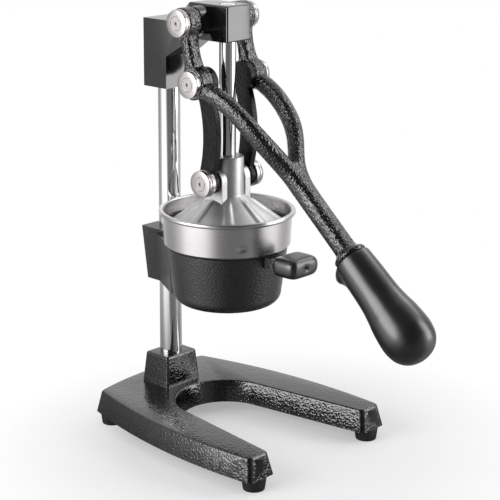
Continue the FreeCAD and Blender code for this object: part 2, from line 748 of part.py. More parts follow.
# Head: one casting, clamped on the post, with the arm that guides the rod and bosses that
# carry the upper pivot. Its side view is a block, a gusset and a step up to the arm.
head = new_body("head_casting")
side_view = new_sketch(head, "head_side_view", "YZ_Plane")
draw_loop(side_view, [
    (size("block_rear"), block_foot_z),
    (size("block_rear"), block_top_z),
    (size("arm_back") + size("step_run"), block_top_z),
    (size("arm_back"), head_top_z),
    (-size("arm_front"), head_top_z),
    (-size("arm_front"), arm_foot_z),
    (size("gusset_end"), arm_foot_z),
    (size("block_front"), block_foot_z + size("gusset_rise")),
    (size("block_front"), block_foot_z),
])
pad(head, "head_block", side_view, size("block_half") * 2, both_ways=True)
cheeks = new_sketch(head, "head_cheeks", "XY_Plane", block_foot_z)
for sign in (1, -1):
    draw_loop(cheeks, [
        (size("arm_half") * sign, -size("arm_front") - 5),
        (size("block_half") * sign * 2, -size("arm_front") - 5),
        (size("block_half") * sign * 2, size("block_front")),
        (size("block_half") * sign, size("block_front")),
        (size("arm_half") * sign, size("arm_back")),
    ])
pocket(head, "arm_sides", cheeks, head_top_z - block_foot_z + 5, reverse=True)


def head_edge(edge, box):
    front = box.YMax < 0.01 - float(size("arm_front"))
    rear = box.YMin > float(size("block_rear")) - 0.01
    top = box.ZMin > float(head_top_z) - 0.01
    return (front or rear or top) and edge.Length > 5


dress(head, "Fillet", "head_edges", head_edge, size("head_edge_radius"))
boss_circle = new_sketch(head, "pivot_boss_circle", "YZ_Plane")
draw_circle(boss_circle, pivot_y, pivot_z, size("boss_radius"))
pad(head, "pivot_bosses", boss_circle, size("boss_reach") * 2, both_ways=True)
pin_circle = new_sketch(head, "pivot_bore_circle", "YZ_Plane")
draw_circle(pin_circle, pivot_y, pivot_z, size("pin_radius") + size("seat_fit"))
pocket(head, "pivot_bore", pin_circle, size("boss_reach") * 3, both_ways=True)
guide_circle = new_sketch(head, "guide_bore_circle", "XY_Plane", arm_foot_z)
draw_circle(guide_circle, zero, zero, size("rod_radius") + size("running_fit"))
pocket(head, "guide_bore", guide_circle, size("arm_height") + 5, reverse=True)
socket_circle = new_sketch(head, "post_socket_circle", "XY_Plane", block_foot_z)
draw_circle(socket_circle, zero, size("post_y"), size("post_radius") + size("seat_fit"))
pocket(head, "post_socket", socket_circle, size("post_socket_depth"), reverse=True)
grub_z = block_foot_z + size("block_height") / 2
grub_circle = new_sketch(head, "grub_bore_circle", "XZ_Plane", -size("block_rear"))
draw_circle(grub_circle, zero, grub_z, size("grub_radius") + size("seat_fit"))
pocket(head, "grub_bore", grub_circle, size("block_rear") - size("post_y"), reverse=True)
keep(head)


def grub_screw(name):
    """A headless screw along Z with a hexagon socket in its end."""
    body = turned(name, [
        (zero, zero),
        (size("grub_radius") - size("end_bevel"), zero),
        (size("grub_radius"), size("end_bevel")),
        (size("grub_radius"), size("grub_length")),
        (zero, size("grub_length")),
    ])
    key = new_sketch(body, name + "_key", "XY_Plane", size("grub_length"))
    draw_loop(key, hexagon_corners(size("grub_key_radius")))
    pocket(body, name + "_socket", key, size("grub_key_depth"))
    return body


post_face = size("post_y") + size("post_radius")
keep(grub_screw("head_grub_screw"), y=post_face + size("seat_fit"), z=grub_z, turn=to_back)

# Upper pivot: a steel pin through the head, a washer and a turned cap on each end.
half_pin = cap_seat
upper_pin = turned("upper_pivot_pin", [
    (zero, -half_pin),
    (size("pin_radius"), -half_pin),
    (size("pin_radius"), half_pin),
    (zero, half_pin),
])
keep(upper_pin, y=pivot_y, z=pivot_z, turn=to_right)


def cap(name):
    """A turned cap, its face outwards along +Z, with a ring groove and a centre hole."""
    face = size("cap_thickness")
    ring = size("cap_ring_radius")
    groove = size("cap_ring_width")
    return turned(name, [
        (zero, zero),
        (size("cap_radius"), zero),
        (size("cap_radius"), face - size("cap_edge_bevel")),
        (size("cap_radius") - size("cap_edge_bevel"), face),
        (ring + groove / 2, face),
        (ring, face - groove / 2),
        (ring - groove / 2, face),
        (size("cap_centre_radius"), face),
        (size("cap_centre_radius"), face - size("cap_centre_depth")),
        (zero, face - size("cap_centre_depth")),
    ])


def washer(name, bore, thickness):
    return turned(name, [
        (bore + size("seat_fit"), -thickness),
        (size("washer_radius"), -thickness),
        (size("washer_radius"), -size("washer_bevel")),
        (size("washer_radius") - size("washer_bevel"), zero),
        (bore + size("seat_fit"), zero),
    ])


for side, sign, turn in (("left", -1, to_left), ("right", 1, to_right)):
    keep(cap("upper_cap_" + side), x=cap_seat * sign, y=pivot_y, z=pivot_z, turn=turn)
    keep(washer("upper_washer_" + side, size("pin_radius"), size("washer_thickness")),
         x=cap_seat * sign, y=pivot_y, z=pivot_z, turn=turn)
    keep(cap("crank_cap_" + side), x=cap_seat * sign, y=crank_y, z=crank_z, turn=turn)
    keep(washer("crank_washer_" + side, size("pin_radius"), size("washer_thickness")),
         x=cap_seat * sign, y=crank_y, z=crank_z, turn=turn)
    keep(cap("cone_cap_" + side), x=cone_cap_seat * sign, z=cone_pin_z, turn=turn)
    keep(washer("cone_washer_" + side, size("cone_pin_radius"), size("cone_washer_thickness")),
         x=cone_cap_seat * sign, z=cone_pin_z, turn=turn)
    # crank pin: fixed in the blind eye of the link, it turns in the lever eye
    pin_root = size("link_inner") + size("blind_wall")
    keep(turned("crank_pin_" + side, [
        (zero, pin_root),
        (size("pin_radius"), pin_root),
        (size("pin_radius"), cap_seat),
        (zero, cap_seat),
    ]), y=crank_y, z=crank_z, turn=turn)
    # cone pin: the outer length carries the link, the inner length sits in the ear
    keep(turned("cone_pin_" + side, [
        (zero, size("link_foot_inner")),
        (size("cone_pin_radius"), size("link_foot_inner")),
        (size("cone_pin_radius"), cone_cap_seat),
        (zero, cone_cap_seat),
    ]), z=cone_pin_z, turn=turn)
    keep(turned("ear_pin_" + side, [
        (zero, size("sleeve_radius") - 1),
        (size("cone_pin_radius"), size("sleeve_radius") - 1),
        (size("cone_pin_radius"), size("ear_outer")),
        (zero, size("ear_outer")),
    ]), z=cone_pin_z, turn=turn)

# Links: flat steel bars that bow forward between an eye on the crank pin and an eye on the
# cone pin. The bow is an arc of the same radius on both long sides.
link_tilt = arc_sine(crank_y / size("link_length"))
bow = size("link_bow")
bow_radius = (size("link_length") * size("link_length") / 4 + bow * bow) / (bow * 2)
for side, sign in (("left", -1), ("right", 1)):
    link = new_body("link_" + side)
    middle = (size("link_inner") + size("link_thickness") / 2) * sign
    bar = new_sketch(link, side + "_bar", "YZ_Plane", middle)
    draw_loop(bar, [
        (-size("link_front"), zero),
        (-size("link_front"), -size("link_length")),
        (size("link_rear"), -size("link_length")),
        (size("link_rear"), zero),
    ], {0: (bow_radius, 1), 2: (bow_radius, -1)})
    pad(link, side + "_link_bar", bar, size("link_thickness"), both_ways=True)
    for place, drop, radius in (("top", zero, size("link_top_radius")),
                                ("foot", -size("link_length"), size("link_foot_radius"))):
        eye = new_sketch(link, side + "_eye_" + place, "YZ_Plane", middle)
        draw_circle(eye, zero, drop, radius)
        pad(link, side + "_link_eye_" + place, eye, size("link_thickness"), both_ways=True)
    foot_boss = new_sketch(link, side + "_foot_boss", "YZ_Plane", size("link_foot_inner") * sign)
    draw_circle(foot_boss, zero, -size("link_length"), size("link_foot_hub"))
    pad(link, side + "_link_foot_boss", foot_boss, size("link_inner") - size("link_foot_inner"),
        reverse=sign < 0)
    top_bore = new_sketch(link, side + "_top_bore", "YZ_Plane", pin_root * sign)
    draw_circle(top_bore, zero, zero, size("pin_radius") + size("seat_fit"))
    pocket(link, side + "_crank_bore", top_bore, size("link_thickness") * 2, reverse=sign > 0)
    foot_bore = new_sketch(link, side + "_foot_bore", "YZ_Plane", middle)
    draw_circle(foot_bore, zero, -size("link_length"), size("cone_pin_radius") + size("seat_fit"))
    pocket(link, side + "_cone_bore", foot_bore, size("link_thickness") * 2, both_ways=True)
    keep(link, y=crank_y, z=crank_z, turn=Rotation(Vector(1, 0, 0), -float(link_tilt)))

# Lever: one iron casting. Two cranks hang from the upper pivot, a yoke arches from the crank
# pins and closes to a bevelled shaft, which ends in a bead and a tang inside the grip.
# It is built with the shaft along -Y from the crank pin axis and then tilted in place.


def bevelled(across, along, rise, width, depth):
    """A bevelled rectangle across the shaft at a distance along it."""
    bevel = float(size("section_chamfer"))
    half_x = width / 2
    half_z = depth / 2
    corners = [
        (half_x, half_z - bevel),
        (half_x - bevel, half_z),
        (bevel - half_x, half_z),
        (-half_x, half_z - bevel),
        (-half_x, bevel - half_z),
        (bevel - half_x, -half_z),
        (half_x - bevel, -half_z),
        (half_x, bevel - half_z),
    ]
    points = [Vector(across + x, -along, rise + z) for x, z in corners]
    return Part.makePolygon(points + points[:1])


eye_mid = float(crank_inner + size("eye_outer")) / 2
root_mid = eye_mid - float(size("yoke_relief")) / 2
root_width = float(size("eye_outer") - crank_inner - size("yoke_relief"))
yoke_width = float(size("yoke_width"))
yoke_depth = float(size("yoke_depth"))
yoke_spread = float(size("yoke_spread"))
yoke_rise = float(size("yoke_rise"))
yoke_length = float(size("yoke_length"))
shaft_width = float(size("shaft_width"))
shaft_height = float(size("shaft_height"))
grip_start = float(size("grip_start"))
crotch = yoke_width / 2
# each station: share of the yoke length, distance from the middle, share of the rise, width
yoke_stations = [
    (0.06, root_mid, 0.16, root_width),
    (0.16, root_mid, 0.48, root_width),
    (0.33, (eye_mid + yoke_spread) / 2, 0.88, yoke_width),
    (0.51, yoke_spread, 1.00, yoke_width),
    (0.70, yoke_spread * 0.80, 0.88, yoke_width * 1.08),
    (0.86, yoke_spread * 0.50, 0.56, yoke_width * 1.14),
    (1.00, crotch, 0.24, yoke_width * 1.10),
    (1.16, crotch * 0.55, 0.02, yoke_width),
]


def lever_solids():
    pieces = []
    crank_turn = 90 - float(size("crank_angle")) - float(size("lever_angle"))
    crank = float(size("crank_length"))
    upper = Vector(0, crank * math.cos(math.radians(crank_turn)), crank * math.sin(math.radians(crank_turn)))
    for sign in (1, -1):
        sections = [bevelled(sign * across, share * yoke_length, rise * yoke_rise, width, yoke_depth)
                    for share, across, rise, width in yoke_stations]
        pieces.append(Part.makeLoft(sections, True, False))
        inner = float(crank_inner)
        outer = float(size("eye_outer"))
        start = inner if sign > 0 else -outer
        eye = Part.makeCylinder(float(size("crank_eye_radius")), outer - inner,
                                Vector(start, 0, 0), Vector(1, 0, 0))
        boss = float(size("boss_reach") + size("side_gap"))
        boss_start = boss if sign > 0 else -outer
        upper_eye = Part.makeCylinder(float(size("boss_radius")), outer - boss,
                                      upper + Vector(boss_start, 0, 0), Vector(1, 0, 0))
        pieces += [eye, upper_eye, crank_web(upper, start, outer - inner)]
    shaft_places = [
        (yoke_length * 0.97, yoke_rise * 0.26, shaft_width * 0.72, shaft_height * 0.86),
        (yoke_length * 1.06, yoke_rise * 0.12, shaft_width * 0.98, shaft_height * 0.92),
        (yoke_length * 1.16, yoke_rise * 0.03, shaft_width * 1.04, shaft_height),
        (yoke_length * 1.30, 0.0, shaft_width, shaft_height),
        (grip_start - float(size("collar_length")) / 2, 0.0, shaft_width, shaft_height),
    ]
    shaft = [bevelled(0, *place) for place in shaft_places]
    pieces.append(Part.makeLoft(shaft, True, True))
    collar_length = float(size("collar_length"))
    collar = Part.makeCylinder(float(size("collar_radius")), collar_length,
                               Vector(0, -(grip_start - collar_length), 0), Vector(0, -1, 0))
    pieces.append(collar.makeFillet(collar_length * 0.4, collar.Edges[:1] + collar.Edges[2:]))
    tang = Part.makeCylinder(float(size("tang_radius")), float(size("tang_length")) + 1,
                             Vector(0, 1 - grip_start, 0), Vector(0, -1, 0))
    pieces.append(tang)
    return upper, pieces


def crank_web(upper, start, thickness):
    """The waisted web between the two eyes of one crank."""
    way = Vector(upper).normalize()
    across = Vector(0, -way.z, way.y)
    waist = float(size("crank_web")) / 2
    flare = waist * 1.9
    length = upper.Length

    def at(along, out):
        return Vector(start, 0, 0) + way * (along * length) + across * out

    edges = [
        Part.Arc(at(0.0, flare), at(0.55, waist), at(1.0, flare)).toShape(),
        Part.LineSegment(at(1.0, flare), at(1.0, -flare)).toShape(),
        Part.Arc(at(1.0, -flare), at(0.55, -waist), at(0.0, -flare)).toShape(),
        Part.LineSegment(at(0.0, -flare), at(0.0, flare)).toShape(),
    ]
    face = Part.Face(Part.Wire(edges))
    return face.extrude(Vector(thickness, 0, 0))


lever = doc.addObject("Part::Feature", "lever_casting")
lever.Label = "lever_casting"
upper_eye_place, lever_pieces = lever_solids()
casting = lever_pieces[0].fuse(lever_pieces[1:]).removeSplitter()
pin_bore = float(size("pin_radius") + size("running_fit"))
for place in (Vector(0, 0, 0), upper_eye_place):
    bore_start = place - Vector(float(size("eye_outer")) * 2, 0, 0)
    drill = Part.makeCylinder(pin_bore, float(size("eye_outer")) * 4, bore_start, Vector(1, 0, 0))
    casting = casting.cut(drill)
lever.Shape = casting
lever_tilt = Rotation(Vector(1, 0, 0), float(size("lever_angle")))
keep(lever, y=crank_y, z=crank_z, turn=lever_tilt)

# Lever grip: a moulded plastic bulb, hollow for the tang, with a finger lip underneath.
grip = doc.addObject("Part::Feature", "lever_grip")
grip.Label = "lever_grip"
grip_length = float(size("grip_length"))
neck = float(size("grip_neck_radius"))
waist_radius = float(size("grip_waist_radius"))
bulb = float(size("grip_bulb_radius"))
side_line = Part.BSplineCurve()
side_line.interpolate([
    Vector(neck, -grip_start, 0),
    Vector((neck + waist_radius) / 2 + 0.3, -(grip_start + grip_length * 0.18), 0),
    Vector(waist_radius + 0.4, -(grip_start + grip_length * 0.38), 0),
    Vector(bulb * 0.94, -(grip_start + grip_length * 0.60), 0),
    Vector(bulb, -(grip_start + grip_length * 0.745), 0),
    Vector(bulb * 0.87, -(grip_start + grip_length * 0.89), 0),
    Vector(bulb * 0.52, -(grip_start + grip_length * 0.975), 0),
    Vector(0, -(grip_start + grip_length), 0),
])
half_section = Part.Face(Part.Wire([
    side_line.toShape(),
    Part.LineSegment(Vector(0, -(grip_start + grip_length), 0), Vector(0, -grip_start, 0)).toShape(),
    Part.LineSegment(Vector(0, -grip_start, 0), Vector(neck, -grip_start, 0)).toShape(),
]))
bulb_solid = half_section.revolve(Vector(0, 0, 0), Vector(0, 1, 0), 360)
lip_radius = float(size("grip_lip_radius"))
lip_reach = float(size("grip_lip_reach"))
lip_sections = []
for share, drop, radius in ((0.0, 1.4, 1.0), (0.05, 0.0, 1.0), (0.12, 1.8, 0.95), (0.22, 6.6, 0.8)):
    centre = Vector(0, -(grip_start + grip_length * share), -(lip_reach - drop - lip_radius * radius))
    lip_sections.append(Part.Wire(Part.makeCircle(lip_radius * radius, centre, Vector(0, 1, 0))))
lip = Part.makeLoft(lip_sections, True, False)
tang_bore = Part.makeCylinder(float(size("tang_radius") + size("seat_fit")), float(size("tang_length")) + 0.5,
                              Vector(0, -grip_start + 0.001, 0), Vector(0, -1, 0))
grip.Shape = bulb_solid.fuse(lip).cut(tang_bore).removeSplitter()
keep(grip, y=crank_y, z=crank_z, turn=lever_tilt)

# Press cone: an aluminium casting. The sleeve takes the rod, the two ears take the cone
# pins, and the hollow ribbed cone presses the fruit over the reamer.
cone = new_body("press_cone")
flank_foot = -size("cone_flank_drop")
rim_foot = flank_foot - size("cone_skirt")
sleeve_foot = -size("sleeve_drop")
shoulder_foot = sleeve_foot - size("cone_shoulder_drop")
section = new_sketch(cone, "cone_section", "XZ_Plane")
draw_loop(section, [
    (zero, size("sleeve_rise")),
    (size("sleeve_radius"), size("sleeve_rise")),
    (size("sleeve_radius"), sleeve_foot),
    (size("cone_shoulder_radius"), shoulder_foot),
    (size("cone_edge_radius"), flank_foot),
    (size("cone_edge_radius"), rim_foot),
    (zero, rim_foot),
])
revolve(cone, "cone_body", section)
ear_view = new_sketch(cone, "ear_side_view", "YZ_Plane")
draw_loop(ear_view, [
    (size("ear_radius"), zero),
    (size("ear_radius"), -size("ear_drop")),
    (-size("ear_radius"), -size("ear_drop")),
    (-size("ear_radius"), zero),
], {3: (size("ear_arc"), -1)})
pad(cone, "ears", ear_view, size("ear_outer") * 2, both_ways=True)
rib_loft_sections = []
for place, radius, level in (
        ("root", size("sleeve_radius") + size("cone_rib_start"), shoulder_foot + size("cone_rib_lift")),
        ("foot", size("cone_edge_radius") - size("cone_rib_setback"), flank_foot)):
    sketch = new_sketch(cone, "rib_" + place, "YZ_Plane", radius)
    half = size("cone_rib_" + place)
    crest = size("cone_rib_" + place + "_crest")
    draw_loop(sketch, [
        (-half, level - size("cone_rib_sink")),
        (half, level - size("cone_rib_sink")),
        (crest, level + size("cone_rib_height")),
        (-crest, level + size("cone_rib_height")),
    ])
    rib_loft_sections.append(sketch)
doc.recompute()
rib = cone.newObject("PartDesign::AdditiveLoft", "cone_rib")
rib.Profile = rib_loft_sections[0]
rib.Sections = [rib_loft_sections[1]]
doc.recompute()
ribs = cone.newObject("PartDesign::PolarPattern", "cone_ribs")
ribs.Originals = [rib]
ribs.Axis = ([item for item in cone.Origin.OriginFeatures if item.Role == "Z_Axis"][0], [""])
ribs.Angle = 360
bind(ribs, "Occurrences", size("cone_ribs"))
cone.Tip = ribs
doc.recompute()
cavity = new_sketch(cone, "cavity_section", "XZ_Plane")
wall_c = size("cone_wall")
draw_loop(cavity, [
    (zero, shoulder_foot - wall_c),
    (size("rod_radius"), shoulder_foot - wall_c),
    (size("cone_edge_radius") - wall_c, flank_foot - size("cone_cavity_drop")),
    (size("cone_edge_radius") - wall_c, rim_foot - 1),
    (zero, rim_foot - 1),
])
before = cone.Shape.Volume
revolve(cone, "cone_cavity", cavity, "Groove")
doc.recompute()
if cone.Shape.Volume >= before:
    raise RuntimeError("the cone cavity cuts nothing")
rod_hole = new_sketch(cone, "rod_hole", "XY_Plane", -size("rod_seat_drop"))
draw_circle(rod_hole, zero, zero, size("rod_radius") + size("seat_fit"))
pocket(cone, "rod_socket", rod_hole, size("sleeve_rise") + size("rod_seat_drop") + 5, reverse=True)
for side, sign in (("left", -1), ("right", 1)):
    ear_hole = new_sketch(cone, side + "_ear_hole", "YZ_Plane", (size("sleeve_radius") - 1) * sign)
    draw_circle(ear_hole, zero, zero, size("cone_pin_radius") + size("seat_fit"))
    pocket(cone, side + "_ear_bore", ear_hole, size("ear_outer"), reverse=sign > 0)
keep(cone, z=cone_pin_z)

rod_top = head_top_z - cone_pin_z
guide_rod = turned("guide_rod", [
    (zero, -size("rod_seat_drop")),
    (size("rod_radius"), -size("rod_seat_drop")),
    (size("rod_radius"), rod_top - 1),
    (size("rod_radius") - 1, rod_top),
    (zero, rod_top),
])
keep(guide_rod, z=cone_pin_z)

# Strainer: spun from stainless sheet, with a rolled rim, a shoulder that rests on the cup
# and a narrower basket inside it whose floor is slotted.
strainer = new_body("strainer_cup")
sheet_wall = size("strainer_wall")
bead = size("bead_radius")
bead_z = size("rim_height") - bead
bead_x = size("rim_radius") - bead
wall_section = new_sketch(strainer, "strainer_section", "XZ_Plane")
draw_loop(wall_section, [
    (zero, basket_floor_z),
    (size("basket_foot_radius"), basket_floor_z),
    (size("basket_top_radius"), cup_top_z),
    (size("strainer_foot_radius") - 3, cup_top_z),
    (size("strainer_foot_radius"), cup_top_z + 3),
    (size("strainer_top_radius"), bead_z),
    (size("strainer_top_radius") - sheet_wall, bead_z),
    (size("strainer_foot_radius") - sheet_wall, cup_top_z + 3),
    (size("strainer_foot_radius") - 3, cup_top_z + sheet_wall),
    (size("basket_top_radius") - sheet_wall, cup_top_z + sheet_wall),
    (size("basket_foot_radius") - sheet_wall, basket_floor_z + sheet_wall),
    (zero, basket_floor_z + sheet_wall),
])
revolve(strainer, "strainer_wall", wall_section)
bead_section = new_sketch(strainer, "bead_section", "XZ_Plane")
draw_circle(bead_section, bead_x, bead_z, bead)
revolve(strainer, "rolled_rim", bead_section)
slot = new_sketch(strainer, "drain_slot", "XY_Plane", basket_floor_z)
half_slot = size("slot_width") / 2
draw_loop(slot, [
    (size("slot_inner"), -half_slot),
    (size("slot_outer"), -half_slot),
    (size("slot_outer"), half_slot),
    (size("slot_inner"), half_slot),
])
slot_cut = pocket(strainer, "drain_slot_cut", slot, sheet_wall * 3, both_ways=True)
slots = strainer.newObject("PartDesign::PolarPattern", "drain_slots")
slots.Originals = [slot_cut]
slots.Axis = ([item for item in strainer.Origin.OriginFeatures if item.Role == "Z_Axis"][0], [""])
slots.Angle = 360
bind(slots, "Occurrences", size("slot_count"))
strainer.Tip = slots
keep(strainer)

# Reamer: an aluminium cone with ribs, standing on the strainer floor.
reamer = new_body("reamer_cone")
reamer_section = new_sketch(reamer, "reamer_section", "XZ_Plane")
draw_loop(reamer_section, [
    (zero, zero),
    (size("reamer_radius"), zero),
    (size("reamer_radius"), size("reamer_flange")),
    (size("reamer_core_radius"), size("reamer_flange")),
    (size("reamer_tip_radius"), size("reamer_height") - size("reamer_tip_height")),
    (zero, size("reamer_height")),
], {3: (size("reamer_flank_radius"), 1)})
revolve(reamer, "reamer_body", reamer_section)
rib_sections = []
for place, radius, foot, half, crest in (
        ("root", size("reamer_rib_start"), size("reamer_flange"),
         size("reamer_rib_half"), size("reamer_rib_crest")),
        ("tip", size("reamer_rib_end"), size("reamer_rib_top"),
         size("reamer_rib_tip_half"), size("reamer_rib_tip_crest"))):
    sketch = new_sketch(reamer, "reamer_rib_" + place, "YZ_Plane", radius)
    top = foot + size("reamer_rib_height")
    draw_loop(sketch, [(-half, foot), (half, foot), (crest, top), (-crest, top)])
    rib_sections.append(sketch)
doc.recompute()
reamer_rib = reamer.newObject("PartDesign::AdditiveLoft", "reamer_rib")
reamer_rib.Profile = rib_sections[0]
reamer_rib.Sections = [rib_sections[1]]
doc.recompute()
reamer_ribs = reamer.newObject("PartDesign::PolarPattern", "reamer_ribs")
reamer_ribs.Originals = [reamer_rib]
reamer_ribs.Axis = ([item for item in reamer.Origin.OriginFeatures if item.Role == "Z_Axis"][0], [""])
reamer_ribs.Angle = 360
bind(reamer_ribs, "Occurrences", size("reamer_ribs"))
reamer.Tip = reamer_ribs
keep(reamer, z=basket_floor_z + sheet_wall)

# Cup: one casting with the block that clamps on the post, the neck between them, and the
# lug at the front for the cup grip. The floor falls to a spout hole in the middle.
cup = new_body("cup_casting")
cup_section = new_sketch(cup, "cup_section", "XZ_Plane")
draw_loop(cup_section, [
    (zero, -size("spout_drop")),
    (size("spout_radius") + size("spout_wall"), -size("spout_drop")),
    (size("spout_radius") + size("spout_wall"), zero),
    (size("cup_foot_radius") - size("cup_corner_radius"), zero),
    (size("cup_foot_radius"), size("cup_corner_radius")),
    (size("cup_top_radius"), size("cup_height")),
    (zero, size("cup_height")),
], {3: (size("cup_corner_arc"), 1)})
revolve(cup, "cup_body", cup_section)
block_view = new_sketch(cup, "bracket_plan", "XY_Plane", size("cup_height"))
draw_loop(block_view, [
    (-size("bracket_half"), size("bracket_rear")),
    (-size("bracket_half"), size("post_y")),
    (-size("neck_half"), size("neck_back")),
    (-size("neck_root_half"), zero),
    (size("neck_root_half"), zero),
    (size("neck_half"), size("neck_back")),
    (size("bracket_half"), size("post_y")),
    (size("bracket_half"), size("bracket_rear")),
])
pad(cup, "bracket_block", block_view, size("bracket_height"), reverse=True, draft=-size("bracket_draft"))
flare = size("bracket_rise") * tangent(size("bracket_draft"))
raised_view = new_sketch(cup, "raised_plan", "XY_Plane", size("cup_height") + size("bracket_rise"))
draw_loop(raised_view, [
    (-(size("bracket_half") + flare), size("bracket_rear") + flare),
    (-(size("bracket_half") + flare), size("bracket_front")),
    (size("bracket_half") + flare, size("bracket_front")),
    (size("bracket_half") + flare, size("bracket_rear") + flare),
])
pad(cup, "raised_block", raised_view, size("bracket_rise") + size("cup_wall"), reverse=True,
    draft=-size("bracket_draft"))
lug = new_sketch(cup, "lug_side_view", "YZ_Plane")
lug_foot = size("lug_rise")
lug_top = lug_foot + size("lug_height")
tongue_foot = lug_foot + (size("lug_height") - size("tongue_height")) / 2 + size("tongue_lift")
draw_loop(lug, [
    (zero, lug_foot),
    (-size("lug_end"), lug_foot),
    (-size("lug_end"), lug_top),
    (zero, lug_top),
])
pad(cup, "front_lug", lug, size("lug_half") * 2, both_ways=True)
tongue = new_sketch(cup, "tongue_side_view", "YZ_Plane")
draw_loop(tongue, [
    (-size("cup_foot_radius"), tongue_foot),
    (-size("tongue_end"), tongue_foot),
    (-size("tongue_end"), tongue_foot + size("tongue_height")),
    (-size("cup_foot_radius"), tongue_foot + size("tongue_height")),
])
pad(cup, "tongue", tongue, size("tongue_half") * 2, both_ways=True)
bowl = new_sketch(cup, "bowl_section", "XZ_Plane")
inner_foot = size("cup_floor") + size("funnel_fall")
draw_loop(bowl, [
    (zero, size("cup_floor")),
    (size("spout_radius"), size("cup_floor")),
    (size("cup_foot_radius") - size("cup_corner_radius"), inner_foot),
    (size("cup_foot_radius") - size("cup_wall"), inner_foot + 5),
    (size("cup_top_radius") - size("cup_wall"), size("cup_height") + 1),
    (zero, size("cup_height") + 1),
])
doc.recompute()
before = cup.Shape.Volume
revolve(cup, "cup_bowl", bowl, "Groove")
doc.recompute()
if cup.Shape.Volume >= before:
    raise RuntimeError("the cup bowl cuts nothing")
spout = new_sketch(cup, "spout_circle", "XY_Plane", -size("spout_drop") - 1)
draw_circle(spout, zero, zero, size("spout_radius"))
pocket(cup, "spout_hole", spout, size("spout_drop") + size("cup_floor") + 3, reverse=True)
clamp = new_sketch(cup, "clamp_circle", "XY_Plane", size("cup_height") + size("bracket_rise") + 1)
draw_circle(clamp, zero, size("post_y"), size("post_radius") + size("seat_fit"))
pocket(cup, "post_bore", clamp, size("bracket_height") + size("bracket_rise") + 5)
bracket_mid = size("cup_height") - size("bracket_height") / 2
bracket_grub = new_sketch(cup, "bracket_grub_circle", "XZ_Plane", -(size("bracket_rear") + 2))
draw_circle(bracket_grub, zero, bracket_mid, size("grub_radius") + size("seat_fit"))
pocket(cup, "bracket_grub_bore", bracket_grub, size("bracket_rear") + 2 - size("post_y"), reverse=True)
tongue_mid = tongue_foot + size("tongue_height") / 2
tongue_drill = new_sketch(cup, "tongue_drill_circle", "XZ_Plane", size("tongue_end") + 1)
draw_circle(tongue_drill, zero, tongue_mid, size("cup_screw_radius") + size("seat_fit"))
pocket(cup, "tongue_drill", tongue_drill, size("cup_screw_length"))
keep(cup, z=cup_foot_z)
keep(grub_screw("bracket_grub_screw"), y=post_face + size("seat_fit"), z=cup_foot_z + bracket_mid,
     turn=to_back)

# Cup grip: a rounded plastic block pushed over the tongue and held by one screw in front.
cup_grip = new_body("cup_grip")
grip_view = new_sketch(cup_grip, "cup_grip_outline", "XZ_Plane", size("lug_end") + 0.1)
half_w = size("cup_grip_half")
half_h = size("cup_grip_height") / 2
draw_loop(grip_view, [(-half_w, -half_h), (half_w, -half_h), (half_w, half_h), (-half_w, half_h)])
pad(cup_grip, "cup_grip_block", grip_view, size("cup_grip_length"))
dress(cup_grip, "Fillet", "cup_grip_edges", lambda edge, box: box.YLength > 5, size("cup_grip_round"))
dress(cup_grip, "Fillet", "cup_grip_face", lambda edge, box: box.YMax < -float(size("lug_end")) - 5
      and box.YLength < 0.01, size("cup_grip_face_round"))
slot_view = new_sketch(cup_grip, "tongue_slot", "XZ_Plane", size("lug_end"))
half_t = size("tongue_half") + 0.1
half_th = size("tongue_height") / 2 + 0.1
draw_loop(slot_view, [(-half_t, -half_th), (half_t, -half_th), (half_t, half_th), (-half_t, half_th)])
pocket(cup_grip, "tongue_slot_cut", slot_view, size("tongue_end") - size("lug_end") + 0.3, reverse=True)
grip_face = size("lug_end") + 0.1 + size("cup_grip_length")
hole = new_sketch(cup_grip, "cup_screw_circle", "XZ_Plane", grip_face + 1)
draw_circle(hole, zero, zero, size("cup_screw_radius") + size("seat_fit"))
pocket(cup_grip, "cup_screw_hole", hole, size("cup_grip_length"))
sink = new_sketch(cup_grip, "cup_screw_sink_circle", "XZ_Plane", grip_face + 1)
draw_circle(sink, zero, zero, size("cup_screw_head") + 0.2)
screw_seat = size("cup_screw_sink") + size("cup_screw_head_height")
pocket(cup_grip, "cup_screw_sink", sink, screw_seat + 1)
keep(cup_grip, z=cup_foot_z + tongue_mid)

cup_screw = doc.addObject("Part::Feature", "cup_grip_screw")
cup_screw.Label = "cup_grip_screw"
cup_screw.Shape = screw_shape(float(size("cup_screw_head")), float(size("cup_screw_head_height")),
                              float(size("cup_screw_radius")), float(size("cup_screw_length")))
keep(cup_screw, y=-(grip_face - screw_seat), z=cup_foot_z + tongue_mid, turn=to_back)

doc.recompute()
faults = []
for item in doc.Objects:
    if "Invalid" in item.State or "Error" in item.State:
        faults.append(item.Name + " " + ",".join(item.State))
for item in sub_parts:
    if item.Shape.isNull() or not item.Shape.isValid():
        faults.append(item.Label + " has no valid shape")
if faults:
    raise RuntimeError("; ".join(faults))
os.makedirs("parts", exist_ok=True)
for item in sub_parts:
    item.Shape.exportStep("parts/" + item.Label + ".step")
    print(item.Label, len(item.Shape.Solids), round(item.Shape.Volume))
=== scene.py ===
import math

import bmesh
import bpy
from mathutils import Matrix, Vector


